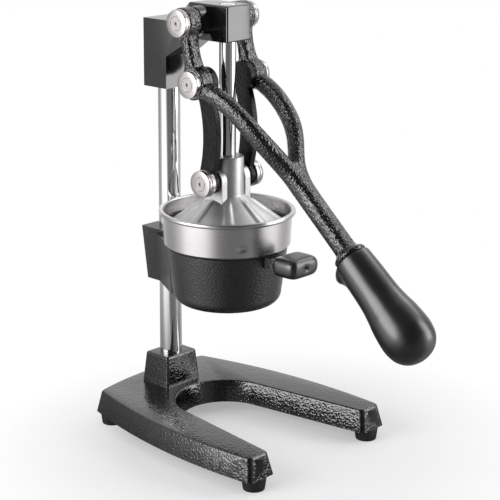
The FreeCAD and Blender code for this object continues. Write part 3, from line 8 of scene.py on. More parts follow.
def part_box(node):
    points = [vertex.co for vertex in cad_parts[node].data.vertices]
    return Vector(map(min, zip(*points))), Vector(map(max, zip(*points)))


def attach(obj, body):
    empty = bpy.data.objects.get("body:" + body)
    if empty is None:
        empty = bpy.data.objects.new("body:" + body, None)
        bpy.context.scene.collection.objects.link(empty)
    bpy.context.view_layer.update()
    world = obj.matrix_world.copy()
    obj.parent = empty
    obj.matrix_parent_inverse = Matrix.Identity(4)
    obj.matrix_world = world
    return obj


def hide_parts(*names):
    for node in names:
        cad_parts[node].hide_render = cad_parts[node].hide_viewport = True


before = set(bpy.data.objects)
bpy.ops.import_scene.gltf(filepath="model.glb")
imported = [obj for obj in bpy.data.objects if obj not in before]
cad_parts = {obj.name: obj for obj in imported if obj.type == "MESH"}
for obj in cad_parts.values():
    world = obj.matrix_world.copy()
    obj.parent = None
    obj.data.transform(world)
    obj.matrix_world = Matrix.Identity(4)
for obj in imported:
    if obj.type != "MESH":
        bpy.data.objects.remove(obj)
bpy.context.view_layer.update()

# Base casting: a hollow iron horseshoe with a square pedestal for the post, coated in thick
# glossy black paint that has set in small hammered dimples.


def new_material(name, colour, metallic, roughness):
    """A principled material and its shader node, to be given its surface detail."""
    material = bpy.data.materials.new(name)
    material.use_nodes = True
    shader = material.node_tree.nodes["Principled BSDF"]
    shader.inputs["Base Color"].default_value = (*colour, 1)
    shader.inputs["Metallic"].default_value = metallic
    shader.inputs["Roughness"].default_value = roughness
    return material, shader


def grain(material, scale, detail=2.0, stretch=(1, 1, 1), where="Object"):
    """Noise over the surface, its cells about 1 / scale metres wide."""
    nodes, links = material.node_tree.nodes, material.node_tree.links
    place = nodes.new("ShaderNodeTexCoord")
    mapping = nodes.new("ShaderNodeMapping")
    mapping.inputs["Scale"].default_value = stretch
    noise = nodes.new("ShaderNodeTexNoise")
    noise.inputs["Scale"].default_value = scale
    noise.inputs["Detail"].default_value = detail
    links.new(place.outputs[where], mapping.inputs["Vector"])
    links.new(mapping.outputs["Vector"], noise.inputs["Vector"])
    return noise.outputs["Fac"]


def spread(material, source, low, high, start=0.3, end=0.7):
    """Noise turned into values between low and high."""
    nodes, links = material.node_tree.nodes, material.node_tree.links
    ranged = nodes.new("ShaderNodeMapRange")
    ranged.inputs["From Min"].default_value = start
    ranged.inputs["From Max"].default_value = end
    ranged.inputs["To Min"].default_value = low
    ranged.inputs["To Max"].default_value = high
    links.new(source, ranged.inputs["Value"])
    return ranged.outputs["Result"]


def relief(material, shader, source, depth, strength=1.0, under=None):
    """Bump of the given depth in metres, on top of an earlier one."""
    nodes, links = material.node_tree.nodes, material.node_tree.links
    bump = nodes.new("ShaderNodeBump")
    bump.inputs["Distance"].default_value = depth
    bump.inputs["Strength"].default_value = strength
    links.new(source, bump.inputs["Height"])
    if under is not None:
        links.new(under, bump.inputs["Normal"])
    links.new(bump.outputs["Normal"], shader.inputs["Normal"])
    return bump.outputs["Normal"]


def tinted(material, shader, source, dark, light):
    """Colour that wanders between two tones with the noise."""
    nodes, links = material.node_tree.nodes, material.node_tree.links
    ramp = nodes.new("ShaderNodeValToRGB")
    ramp.color_ramp.elements[0].position = 0.35
    ramp.color_ramp.elements[0].color = (*dark, 1)
    ramp.color_ramp.elements[1].position = 0.68
    ramp.color_ramp.elements[1].color = (*light, 1)
    links.new(source, ramp.inputs["Fac"])
    links.new(ramp.outputs["Color"], shader.inputs["Base Color"])


def hammered_paint(name, cell, depth, dullest):
    """Thick gloss black that has drawn together into dimples of that width."""
    material, shader = new_material(name, (0.004, 0.004, 0.004), 0.0, 0.1)
    shader.inputs["Specular IOR Level"].default_value = 1.0
    dimples = grain(material, 1 / cell, 1.0)
    flow = grain(material, 0.2 / cell, 2.0)
    wander = relief(material, shader, flow, depth, 0.6)
    relief(material, shader, dimples, depth, 1.0, wander)
    tinted(material, shader, dimples, (0.002, 0.002, 0.002), (0.007, 0.007, 0.007))
    material.node_tree.links.new(spread(material, flow, 0.07, dullest), shader.inputs["Roughness"])
    return material


def dressed(node, body, slot, material, rounding=0.0, sharp=32, rounds=2):
    """A smooth-shaded stand-in for a CAD node, with its sharp edges rounded a little."""
    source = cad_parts[node]
    mesh = source.data.copy()
    mesh.name = node + "_dressed"
    work = bmesh.new()
    work.from_mesh(mesh)
    bmesh.ops.remove_doubles(work, verts=work.verts, dist=1e-6)
    bmesh.ops.dissolve_limit(work, angle_limit=math.radians(0.4), verts=work.verts, edges=work.edges)
    for face in work.faces:
        face.smooth = True
    for edge in work.edges:
        if len(edge.link_faces) == 2:
            edge.smooth = edge.calc_face_angle() < math.radians(sharp)
    work.to_mesh(mesh)
    work.free()
    piece = as_piece(node + "_dressed", mesh, material, body, slot, node)
    if rounding:
        soften(piece, rounding, sharp, rounds)
    return piece


def as_piece(name, mesh, material, body, slot, *replaced):
    """A piece of the press from its finished mesh, on its body, in place of those CAD nodes."""
    mesh.materials.clear()
    mesh.materials.append(material)
    piece = bpy.data.objects.new(name, mesh)
    bpy.context.scene.collection.objects.link(piece)
    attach(piece, body)
    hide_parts(*replaced)
    return piece


def soften(piece, rounding, sharp=32, rounds=2):
    """Round the edges of a piece that are sharper than that angle."""
    bevel = piece.modifiers.new("edge rounding", "BEVEL")
    bevel.width = rounding
    bevel.segments = rounds
    bevel.limit_method = "ANGLE"
    bevel.angle_limit = math.radians(sharp)
    bevel.harden_normals = True


base_paint = hammered_paint("hammered_black_base", cell=0.0022, depth=0.00036, dullest=0.12)
dressed("base_casting", "frame", "hammered", base_paint, rounding=0.0011)

# Feet: tapered rubber pads, moulded matt black, each held by a screw up through its middle.
# The four are alike and stand under the ends of the legs and the corners at the rear.
crease = 32


def lathe(name, profile, segments=96, ring=False, push=None):
    """A mesh turned about the Z axis from (radius, height) points; a ring's ends are joined.

    Its UV map holds the share of a turn and the way along the profile in metres. The push, if
    there is one, gives an outward move for an angle and a height.
    """
    mesh = bpy.data.meshes.new(name)
    work = bmesh.new()
    turning = work.loops.layers.uv.new("turning")
    number_of = work.verts.layers.float.new("ring_number")
    points = list(profile) + ([profile[0]] if ring else [])
    travel = [0.0]
    for (r0, z0), (r1, z1) in zip(points, points[1:]):
        travel.append(travel[-1] + math.hypot(r1 - r0, z1 - z0))
    rings = []
    for number, (radius, height) in enumerate(profile):
        if radius < 1e-7:
            rings.append([work.verts.new((0, 0, height))])
        else:
            around = []
            for step in range(segments):
                angle = 2 * math.pi * step / segments
                out = radius + (push(angle, radius, height) if push else 0)
                around.append(work.verts.new((out * math.cos(angle), out * math.sin(angle), height)))
            rings.append(around)
        for vert in rings[-1]:
            vert[number_of] = number
    pairs = list(zip(rings, rings[1:] + (rings[:1] if ring else [])))
    if not ring:
        pairs = pairs[:len(rings) - 1]
    for number, (lower, upper) in enumerate(pairs):
        for step in range(segments):
            after = (step + 1) % segments
            corners = [(lower[step % len(lower)], step, number)]
            if len(lower) > 1:
                corners.append((lower[after], step + 1, number))
            if len(upper) > 1:
                corners.append((upper[after], step + 1, number + 1))
            corners.append((upper[step % len(upper)], step, number + 1))
            if len(corners) < 3:
                continue
            face = work.faces.new([corner[0] for corner in corners])
            face.smooth = True
            for loop, corner in zip(face.loops, corners):
                loop[turning].uv = (corner[1] / segments, travel[corner[2]])
    mark_sharp(work)
    work.to_mesh(mesh)
    work.free()
    return mesh


def mark_sharp(work):
    """Outward faces, and creases where two of them meet at more than that many degrees."""
    bmesh.ops.recalc_face_normals(work, faces=work.faces)
    for edge in work.edges:
        if len(edge.link_faces) == 2:
            edge.smooth = edge.calc_face_angle() < math.radians(crease)


def rounded(points, radius, steps=4):
    """A profile with its inner corners rounded off."""
    result = [points[0]]
    for before, corner, after in zip(points, points[1:], points[2:]):
        here = Vector(corner)
        back, ahead = Vector(before) - here, Vector(after) - here
        reach = min(radius, back.length * 0.45, ahead.length * 0.45)
        start, end = here + back.normalized() * reach, here + ahead.normalized() * reach
        for step in range(steps + 1):
            share = step / steps
            point = start.lerp(here, share).lerp(here.lerp(end, share), share)
            result.append((point.x, point.y))
    result.append(points[-1])
    return result


def moved(mesh, place, way=(0, 0, 1)):
    """The mesh with its Z axis turned to a way and its origin carried to a place."""
    turn = Vector((0, 0, 1)).rotation_difference(Vector(way)).to_matrix().to_4x4()
    mesh.transform(Matrix.Translation(Vector(place)) @ turn)
    return mesh


def middle_of(node):
    """The middle of a CAD node's box."""
    low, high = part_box(node)
    return (Vector(low) + Vector(high)) / 2


def new_tree(name, **inputs):
    """A Geometry Nodes tree with named inputs, its input sockets and its output sockets."""
    tree = bpy.data.node_groups.new(name, "GeometryNodeTree")
    tree.interface.new_socket("Geometry", in_out="INPUT", socket_type="NodeSocketGeometry")
    for label, kind in inputs.items():
        label = label.replace("_", " ")
        tree.interface.new_socket(label, in_out="INPUT", socket_type="NodeSocket" + kind)
    tree.interface.new_socket("Geometry", in_out="OUTPUT", socket_type="NodeSocketGeometry")
    return tree, tree.nodes.new("NodeGroupInput").outputs, tree.nodes.new("NodeGroupOutput").inputs


def node_of(tree, kind, sockets, **settings):
    """A node of a tree, its settings made and its sockets linked or filled."""
    node = tree.nodes.new(kind)
    for setting, value in settings.items():
        setattr(node, setting, value)
    for socket, value in sockets.items():
        if isinstance(value, bpy.types.NodeSocket):
            tree.links.new(value, node.inputs[socket])
        else:
            node.inputs[socket].default_value = value
    return node


def shown(node):
    """The output of a node that is in use for its data type."""
    return [output for output in node.outputs if output.enabled][0]


def worked_out(tree, operation, *values):
    """The result of a piece of arithmetic in a tree."""
    node = node_of(tree, "ShaderNodeMath", dict(enumerate(values)), operation=operation)
    return node.outputs[0]


def finish_tree(tree, geometry, finish, result):
    """End a tree as real geometry in its material."""
    real = node_of(tree, "GeometryNodeRealizeInstances", {"Geometry": geometry})
    painted = node_of(tree, "GeometryNodeSetMaterial",
                      {"Geometry": real.outputs["Geometry"], "Material": finish})
    tree.links.new(painted.outputs["Geometry"], result["Geometry"])


def grown(name, tree, seed, **values):
    """The plain mesh that a tree makes from a seed mesh and its named values."""
    carrier = bpy.data.objects.new(name, seed)
    bpy.context.scene.collection.objects.link(carrier)
    modifier = carrier.modifiers.new(tree.name, "NODES")
    modifier.node_group = tree
    for socket in tree.interface.items_tree:
        label = socket.name.replace(" ", "_")
        if socket.in_out == "INPUT" and label in values:
            modifier[socket.identifier] = values[label]
    evaluated = carrier.evaluated_get(bpy.context.evaluated_depsgraph_get())
    mesh = bpy.data.meshes.new_from_object(evaluated)
    mesh.name = name
    carrier.modifiers.clear()
    bpy.data.objects.remove(carrier)
    return mesh


def pattern_piece(name, mesh):
    """A single piece that a tree repeats; it is taken away once the tree has run."""
    holder = bpy.data.objects.new(name, mesh)
    bpy.context.scene.collection.objects.link(holder)
    return holder


places_tree, given, result = new_tree("same_piece_at_places", Piece="Object", Finish="Material")
single = node_of(places_tree, "GeometryNodeObjectInfo", {"Object": given["Piece"]})
way = node_of(places_tree, "GeometryNodeInputNamedAttribute", {"Name": "way"}, data_type="FLOAT_VECTOR")
turn = node_of(places_tree, "FunctionNodeAlignRotationToVector", {"Vector": shown(way)}, axis="Z")
copies = node_of(places_tree, "GeometryNodeInstanceOnPoints", {
    "Points": given["Geometry"], "Instance": single.outputs["Geometry"],
    "Rotation": turn.outputs["Rotation"]})
finish_tree(places_tree, copies.outputs["Instances"], given["Finish"], result)


def set_at(name, mesh, places, finish):
    """Copies of a mesh at (place, way) pairs, its Z axis along each way."""
    seed = bpy.data.meshes.new(name + "_places")
    seed.from_pydata([tuple(place) for place, way in places], [], [])
    ways = seed.attributes.new("way", "FLOAT_VECTOR", "POINT")
    for number, (place, way) in enumerate(places):
        ways.data[number].vector = way
    single = pattern_piece(name + "_single", mesh)
    made = grown(name, places_tree, seed, Piece=single, Finish=finish)
    bpy.data.objects.remove(single)
    return made


rubber, shader = new_material("moulded_rubber", (0.012, 0.012, 0.012), 0.0, 0.55)
relief(rubber, shader, grain(rubber, 2200, 3.0), 0.00004)
tinted(rubber, shader, grain(rubber, 160, 3.0), (0.008, 0.008, 0.008), (0.020, 0.020, 0.019))
screw_bore, recess_radius, recess_depth = 0.0021, 0.0045, 0.005
tread_radius, foot_top_radius, foot_height, foot_edge = 0.0100, 0.0116, 0.012, 0.0007
foot_profile = rounded([
    (screw_bore, recess_depth), (recess_radius, recess_depth), (recess_radius, 0.0), (tread_radius, 0.0),
    (foot_top_radius, foot_height), (screw_bore, foot_height),
], foot_edge)
feet = ("foot_front_left", "foot_front_right", "foot_rear_left", "foot_rear_right")
foot_places = [((middle_of(foot).x, middle_of(foot).y, 0), (0, 0, 1)) for foot in feet]
pad = lathe("rubber_foot", foot_profile, 64, ring=True)
pads = set_at("rubber_feet", pad, foot_places, rubber)
as_piece("rubber_feet", pads, rubber, "frame", "rubber", *feet)

# Bright steel small parts: the bolt and washer under the post, the pins and the foot screws,
# turned and zinc plated. The grub screws and the screw of the cup grip are blackened instead.
plated, shader = new_material("plated_steel", (0.60, 0.59, 0.57), 1.0, 0.24)
relief(plated, shader, grain(plated, 900, 2.0), 0.00002)
tinted(plated, shader, grain(plated, 120, 2.0), (0.50, 0.49, 0.47), (0.68, 0.67, 0.65))
blackened, shader = new_material("blackened_steel", (0.03, 0.03, 0.03), 0.6, 0.38)
relief(blackened, shader, grain(blackened, 1500, 2.0), 0.00002)
tinted(blackened, shader, grain(blackened, 300, 2.0), (0.02, 0.02, 0.02), (0.05, 0.05, 0.05))


def finish_node(node, material):
    """Give a CAD node that keeps its own mesh a finish."""
    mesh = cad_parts[node].data
    mesh.materials.clear()
    mesh.materials.append(material)


for node in ("foot_screws", "post_washer", "post_bolt", "upper_pivot_pin", "crank_pin_left",
             "crank_pin_right", "cone_pin_left", "cone_pin_right", "ear_pin_left", "ear_pin_right"):
    finish_node(node, plated)
for node in ("head_grub_screw", "bracket_grub_screw", "cup_grip_screw"):
    finish_node(node, blackened)

# Post and guide rod: ground steel bar, hard chromed and polished, with a small bevel at the
# ends. The post stands in the base, and the rod is set in the sleeve of the press cone.
chrome, shader = new_material("polished_chrome", (0.80, 0.80, 0.81), 1.0, 0.05)
lengthwise = grain(chrome, 420, 2.0, (1, 1, 0.02))
chrome.node_tree.links.new(spread(chrome, lengthwise, 0.04, 0.08), shader.inputs["Roughness"])
tinted(chrome, shader, lengthwise, (0.76, 0.76, 0.77), (0.83, 0.83, 0.84))
bar_bevel = 0.001
for name, node, body in (("post_bar", "post", "frame"), ("guide_rod_bar", "guide_rod", "press")):
    low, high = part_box(node)
    radius = (high[0] - low[0]) / 2
    bar = [(0, low[2]), (radius - bar_bevel, low[2]), (radius, low[2] + bar_bevel),
           (radius, high[2] - bar_bevel), (radius - bar_bevel, high[2]), (0, high[2])]
    bar_mesh = moved(lathe(name, bar, 128), (0, middle_of(node).y, 0))
    as_piece(name, bar_mesh, chrome, body, "chrome", node)

# Head casting: an iron block clamped on the post, with a gusset and the arm that guides the
# rod. It is ground smooth and painted in deep gloss black.
gloss_paint, shader = new_material("gloss_black_enamel", (0.004, 0.004, 0.004), 0.0, 0.10)
shader.inputs["Specular IOR Level"].default_value = 0.9
ripple = grain(gloss_paint, 130, 2.0)
relief(gloss_paint, shader, ripple, 0.00003)
tinted(gloss_paint, shader, grain(gloss_paint, 60, 3.0), (0.003, 0.003, 0.003), (0.008, 0.007, 0.007))
dressed("head_casting", "frame", "enamel", gloss_paint, rounding=0.0010)

# Lever casting: two cranks, a yoke and a bevelled shaft in one piece of iron, in the same
# hammered paint as the base but with deeper dimples.


def evaluated_mesh(mesh, *modifiers):
    """The mesh after the named modifiers, each given as its kind and its settings."""
    carrier = bpy.data.objects.new(mesh.name, mesh)
    bpy.context.scene.collection.objects.link(carrier)
    if "worn" in mesh.attributes:
        group = carrier.vertex_groups.new(name="worn_share")
        for number, share in enumerate(mesh.attributes["worn"].data):
            group.add([number], share.value, "REPLACE")
    for kind, settings in modifiers:
        modifier = carrier.modifiers.new(kind.lower(), kind)
        for setting, value in settings.items():
            setattr(modifier, setting, value)
    made = bpy.data.meshes.new_from_object(carrier.evaluated_get(bpy.context.evaluated_depsgraph_get()))
    bpy.data.objects.remove(carrier)
    return made


def softened(node, body, slot, material, cell, rounds, swell=0.0, firm=()):
    """A stand-in for a CAD node with its edges worn round, as a casting or a moulding has them.

    Round the firm places, eyes that other pieces seat against, the shape keeps to the CAD's.
    """
    firm_radius, firm_fade, farthest = 0.015, 0.008, 1.0
    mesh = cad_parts[node].data.copy()
    work = bmesh.new()
    work.from_mesh(mesh)
    bmesh.ops.remove_doubles(work, verts=work.verts, dist=1e-6)
    work.to_mesh(mesh)
    work.free()
    skin = evaluated_mesh(
        mesh, ("REMESH", {"mode": "VOXEL", "voxel_size": cell, "use_smooth_shade": True}))
    worn = skin.attributes.new("worn", "FLOAT", "POINT")
    for vert in skin.vertices:
        near = min([math.hypot(vert.co.y - eye.y, vert.co.z - eye.z) for eye in firm] + [farthest])
        worn.data[vert.index].value = min(1.0, max(0.0, (near - firm_radius) / firm_fade))
    cast = evaluated_mesh(
        skin, ("SMOOTH", {"factor": 0.5, "iterations": 14}),
        ("SMOOTH", {"factor": 0.5, "iterations": rounds, "vertex_group": "worn_share"}),
        ("DISPLACE", {"strength": swell, "mid_level": 0.0, "vertex_group": "worn_share"}))
    return as_piece(node + "_cast", cast, material, body, slot, node)


lever_paint = hammered_paint("hammered_black_lever", cell=0.0022, depth=0.00105, dullest=0.13)
lever_eyes = (middle_of("crank_pin_left"), middle_of("upper_pivot_pin"))
softened("lever_casting", "lever", "hammered", lever_paint, cell=0.0009, rounds=130, swell=0.0008,
         firm=lever_eyes)

# Links: two flat forged bars that bow round the guide rod, in satin black. Their eyes turn
# on the crank pins above and on the cone pins below.
satin_paint, shader = new_material("satin_black_paint", (0.004, 0.004, 0.004), 0.0, 0.26)
shader.inputs["Specular IOR Level"].default_value = 0.2
relief(satin_paint, shader, grain(satin_paint, 520, 2.0), 0.00045)
tinted(satin_paint, shader, grain(satin_paint, 90, 3.0), (0.002, 0.002, 0.002), (0.006, 0.006, 0.006))
for side in ("left", "right"):
    dressed("link_" + side, "links", "link_black", satin_paint, rounding=0.0011, rounds=3)

# Pin caps and washers: turned steel. The face of a cap is brushed in rings, with one groove
# and a small centre hole, and its side is polished. One stands on each end of every pin.
cap_steel, shader = new_material("turned_cap_steel", (0.62, 0.60, 0.58), 1.0, 0.26)
rings = grain(cap_steel, 1, 2.0, (3, 9000, 1), "UV")
cap_steel.node_tree.links.new(spread(cap_steel, rings, 0.20, 0.36), shader.inputs["Roughness"])
relief(cap_steel, shader, rings, 0.000012)
tinted(cap_steel, shader, rings, (0.50, 0.475, 0.465), (0.62, 0.59, 0.58))
# The cap's section as (radius, height): bottom, side, bevel, groove and centre hole.
cap_profile = [
    (0.0, 0.0), (0.0119, 0.0), (0.0126, 0.0007), (0.0126, 0.0037), (0.0123, 0.0043), (0.0118, 0.0045),
    (0.00685, 0.0045), (0.0065, 0.0040), (0.0063, 0.0040), (0.00595, 0.0045), (0.0016, 0.0045),
    (0.0014, 0.0043), (0.0014, 0.0026), (0.0, 0.0022),
]


def washer_profile(bore, thickness):
    """The section of a washer, with its two outer edges and one inner edge rounded."""
    radius, edge, closing = 0.0129, 0.00035, 0.0001
    corners = [(bore, 0.0), (radius, 0.0), (radius, thickness), (bore, thickness), (bore, closing)]
    return rounded(corners, edge, 2)


def ends(kind, places):
    """Where the pieces of that kind seat, each with its outward way, and their nodes."""
    found, nodes = [], []
    for place in places:
        for side, sign in (("left", -1), ("right", 1)):
            node = f"{place}_{kind}_{side}"
            low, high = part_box(node)
            middle = middle_of(node)
            found.append(((low[0] if sign > 0 else high[0], middle.y, middle.z), (sign, 0, 0)))
            nodes.append(node)
    return found, nodes


washer = lathe("thin_washer", washer_profile(bore=0.0061, thickness=0.0012), ring=True)
thick_washer = lathe("thick_washer", washer_profile(bore=0.0051, thickness=0.0044), ring=True)
cap = lathe("pin_cap", cap_profile)
for name, mesh, kind, places, body in (
        ("upper_pin_caps", cap, "cap", ("upper",), "frame"),
        ("link_pin_caps", cap, "cap", ("crank", "cone"), "links"),
        ("upper_pin_washers", washer, "washer", ("upper",), "frame"),
        ("crank_pin_washers", washer, "washer", ("crank",), "links"),
        ("cone_pin_washers", thick_washer, "washer", ("cone",), "links")):
    found, nodes = ends(kind, places)
    as_piece(name, set_at(name, mesh, found, cap_steel), cap_steel, body, "steel", *nodes)

# Lever grip: a hollow moulded bulb in gloss black plastic, pushed over the tang of the lever,
# with a finger lip that swells out of its underside behind the neck.
grip_plastic, shader = new_material("gloss_black_plastic", (0.005, 0.005, 0.005), 0.0, 0.29)
shader.inputs["Specular IOR Level"].default_value = 1.0
relief(grip_plastic, shader, grain(grip_plastic, 70, 2.0), 0.00005)
tinted(grip_plastic, shader, grain(grip_plastic, 40, 3.0), (0.004, 0.004, 0.004), (0.009, 0.009, 0.009))
grip_start, grip_length, lever_angle = 0.2115, 0.1105, math.radians(42)
# The bulb's radius and the lip's swell in millimetres, by the share of the grip's length.
grip_line = [(0.0, 17.0), (0.18, 18.3), (0.38, 19.2), (0.50, 20.9), (0.60, 22.95), (0.745, 24.4),
             (0.83, 23.5), (0.89, 21.3), (0.94, 17.2), (0.975, 11.9), (0.994, 5.8), (1.0, 0.0)]
lip_line = [(0.0, 6.5), (0.03, 9.2), (0.06, 10.0), (0.09, 7.8), (0.13, 3.8), (0.18, 1.4),
            (0.25, 0.0), (1.0, 0.0)]


def drawn_through(points, steps=6):
    """A smooth curve through points, by the usual cubic between each pair."""
    line = []
    padded = [points[0]] + points + [points[-1]]
    for nearby in zip(padded, padded[1:], padded[2:], padded[3:]):
        for step in range(steps):
            t = step / steps
            line.append(tuple(
                0.5 * (2 * b + (c - a) * t + (2 * a - 5 * b + 4 * c - d) * t * t
                       + (3 * b - a - 3 * c + d) * t ** 3)
                for a, b, c, d in zip(*nearby)))
    line.append(points[-1])
    return line


def height_at(line, share):
    """The straight-line value of a list of (share, value) points."""
    for (s0, v0), (s1, v1) in zip(line, line[1:]):
        if share <= s1:
            return v0 + (v1 - v0) * (share - s0) / (s1 - s0)
    return line[-1][1]


smooth_lip = drawn_through(lip_line)
neck_bore, neck_radius, neck_round, lip_full_radius = 0.0105, 0.017, 0.0012, 0.0155
grip_profile = [(0.0, 0.0), (neck_bore, 0.0), (neck_radius - neck_round, 0.0),
                (neck_radius - neck_round * 0.3, neck_round * 0.3)]
grip_profile += [(radius / 1000, share * grip_length) for share, radius in drawn_through(grip_line)
                 if share * grip_length > neck_round * 0.9]


def lip(angle, radius, height):
    """How far the grip swells out under the neck."""
    under = max(0.0, math.cos(angle + math.pi / 2))
    full = min(1.0, radius / lip_full_radius) ** 3
    return height_at(smooth_lip, height / grip_length) / 1000 * under ** 8 * full


grip_mesh = lathe("lever_grip_moulding", grip_profile, 128, push=lip)
along = Vector((0, -math.cos(lever_angle), -math.sin(lever_angle)))
under = Vector((0, math.sin(lever_angle), -math.cos(lever_angle)))
neck_middle = Vector((0, middle_of("crank_pin_left").y, middle_of("crank_pin_left").z)) + along * grip_start
aside = under.cross(along)
grip_mesh.transform(Matrix((
    (aside.x, -under.x, along.x, neck_middle.x),
    (aside.y, -under.y, along.y, neck_middle.y),
    (aside.z, -under.z, along.z, neck_middle.z),
    (0, 0, 0, 1),
)))
grip_mesh.update()
as_piece("lever_grip_moulding", grip_mesh, grip_plastic, "lever", "plastic", "lever_grip")

# Press cone: cast aluminium in a satin finish. A sleeve takes the guide rod, two ears take the
# cone pins, and eight soft ribs run down the flank of the hollow cone.
cast_aluminium, shader = new_material("satin_cast_aluminium", (0.60, 0.595, 0.60), 1.0, 0.46)
relief(cast_aluminium, shader, grain(cast_aluminium, 1300, 3.0), 0.00004)
tinted(cast_aluminium, shader, grain(cast_aluminium, 90, 3.0), (0.55, 0.545, 0.55), (0.65, 0.645, 0.65))
rod_middle = Vector((0, middle_of("guide_rod").y, middle_of("ear_pin_left").z))
# Heights count from the middle of the ear pins.
rod_bore, sleeve_radius, sleeve_top, sleeve_foot = 0.0081, 0.0155, 0.0220, -0.0148
flank_top, flank_foot, rim_foot = (0.0210, -0.0190), (0.0555, -0.0435), -0.0485
hollow_radius, hollow_foot, crown_radius, crown_height = 0.0523, -0.0454, 0.0079, -0.0222
cone_edge, flank_steps = 0.0012, 20
cone_outside = rounded([
    (rod_bore, sleeve_top), (sleeve_radius, sleeve_top), (sleeve_radius, sleeve_foot), flank_top,
], cone_edge)
flank = [tuple(Vector(flank_top).lerp(Vector(flank_foot), step / flank_steps))
         for step in range(flank_steps + 1)]
cone_inside = rounded([
    flank_foot, (flank_foot[0], rim_foot), (hollow_radius, rim_foot), (hollow_radius, hollow_foot),
    (crown_radius, crown_height), (0.0, crown_height),
], cone_edge)
cone_mesh = lathe("press_cone_body", cone_outside[:-1] + flank + cone_inside[1:], 320)
flank_share = cone_mesh.attributes.new("flank", "FLOAT", "POINT")
numbers = cone_mesh.attributes["ring_number"].data
first_ring, last_ring = len(cone_outside) - 2, len(cone_outside) + flank_steps - 1
for number in range(len(numbers)):
    flank_share.data[number].value = float(first_ring < numbers[number].value <= last_ring)
rib_run_in, rib_run_out, rib_crest = 0.006, 0.0015, 0.15

ribs_tree, given, result = new_tree(
    "soft_ribs", Ribs="Int", Height="Float", Top_Radius="Float", Foot_Radius="Float",
    Top_Half_Width="Float", Foot_Half_Width="Float", Finish="Material")
place = node_of(ribs_tree, "GeometryNodeInputPosition", {})
split = node_of(ribs_tree, "ShaderNodeSeparateXYZ", {0: place.outputs["Position"]})
x, y = split.outputs[0], split.outputs[1]
turned_by = worked_out(ribs_tree, "ARCTAN2", y, x)
half_turn = worked_out(ribs_tree, "DIVIDE", math.pi, given["Ribs"])
from_rib = worked_out(ribs_tree, "ABSOLUTE", worked_out(
    ribs_tree, "WRAP", turned_by, half_turn, worked_out(ribs_tree, "MULTIPLY", half_turn, -1.0)))
radius = worked_out(ribs_tree, "SQRT", worked_out(
    ribs_tree, "ADD", worked_out(ribs_tree, "MULTIPLY", x, x), worked_out(ribs_tree, "MULTIPLY", y, y)))
half_width = node_of(ribs_tree, "ShaderNodeMapRange", {
    "Value": radius, "From Min": given["Top Radius"], "From Max": given["Foot Radius"],
    "To Min": given["Top Half Width"], "To Max": given["Foot Half Width"]})
beside = worked_out(ribs_tree, "DIVIDE", worked_out(ribs_tree, "MULTIPLY", radius, from_rib),
                    half_width.outputs[0])
crest = node_of(ribs_tree, "ShaderNodeMapRange", {
    "Value": beside, "From Min": 1.0, "From Max": rib_crest, "To Min": 0.0, "To Max": 1.0},
    interpolation_type="SMOOTHERSTEP")
run_in = node_of(ribs_tree, "ShaderNodeMapRange", {
    "Value": radius, "From Min": given["Top Radius"], "To Min": 0.0, "To Max": 1.0,
    "From Max": worked_out(ribs_tree, "ADD", given["Top Radius"], rib_run_in)},
    interpolation_type="SMOOTHSTEP")
run_out = node_of(ribs_tree, "ShaderNodeMapRange", {
    "Value": radius, "From Max": given["Foot Radius"], "To Min": 1.0, "To Max": 0.0,
    "From Min": worked_out(ribs_tree, "SUBTRACT", given["Foot Radius"], rib_run_out)},
    interpolation_type="SMOOTHSTEP")
on_flank = node_of(ribs_tree, "GeometryNodeInputNamedAttribute", {"Name": "flank"}, data_type="FLOAT")
lift = worked_out(ribs_tree, "MULTIPLY",
                  worked_out(ribs_tree, "MULTIPLY", crest.outputs[0], run_in.outputs[0]),
                  worked_out(ribs_tree, "MULTIPLY", run_out.outputs[0], shown(on_flank)))
lift = worked_out(ribs_tree, "MULTIPLY", lift, given["Height"])
facing = node_of(ribs_tree, "GeometryNodeInputNormal", {})
outward = node_of(ribs_tree, "ShaderNodeVectorMath", {0: facing.outputs["Normal"], "Scale": lift},
                  operation="SCALE")
raised = node_of(ribs_tree, "GeometryNodeSetPosition", {
    "Geometry": given["Geometry"], "Offset": outward.outputs[0]})
finish_tree(ribs_tree, raised.outputs["Geometry"], given["Finish"], result)
cone_mesh = grown("press_cone_casting", ribs_tree, cone_mesh, Ribs=8, Height=0.0013, Top_Radius=0.0190,
                  Foot_Radius=0.0552, Top_Half_Width=0.0042, Foot_Half_Width=0.0088, Finish=cast_aluminium)


def ear_plate(work, inner, outer, half_width, arc, drop, bore, steps=64):
    """One upright plate with a round top and a bored eye, between two distances from the middle.

    The drop is how far it reaches down from its eye, and the arc is the radius of its top.
    """
    loops = []
    for level in (inner, outer):
        for bored in (False, True):
            loop = []
            for step in range(steps):
                angle = 2 * math.pi * step / steps
                across, upward = math.cos(angle), math.sin(angle)
                reach = min(half_width / max(abs(across), 1e-6), arc)
                if upward < 0:
                    reach = min(half_width / max(abs(across), 1e-6), drop / max(-upward, 1e-6))
                reach = bore if bored else reach
                loop.append(work.verts.new((level, across * reach, upward * reach)))
            loops.append(loop)
    inner_edge, inner_bore, outer_edge, outer_bore = loops
    for step in range(steps):
        after = (step + 1) % steps
        for first, second in ((inner_edge, inner_bore), (inner_bore, outer_bore),
                              (outer_bore, outer_edge), (outer_edge, inner_edge)):
            face = work.faces.new((first[step], first[after], second[after], second[step]))
            face.smooth = True


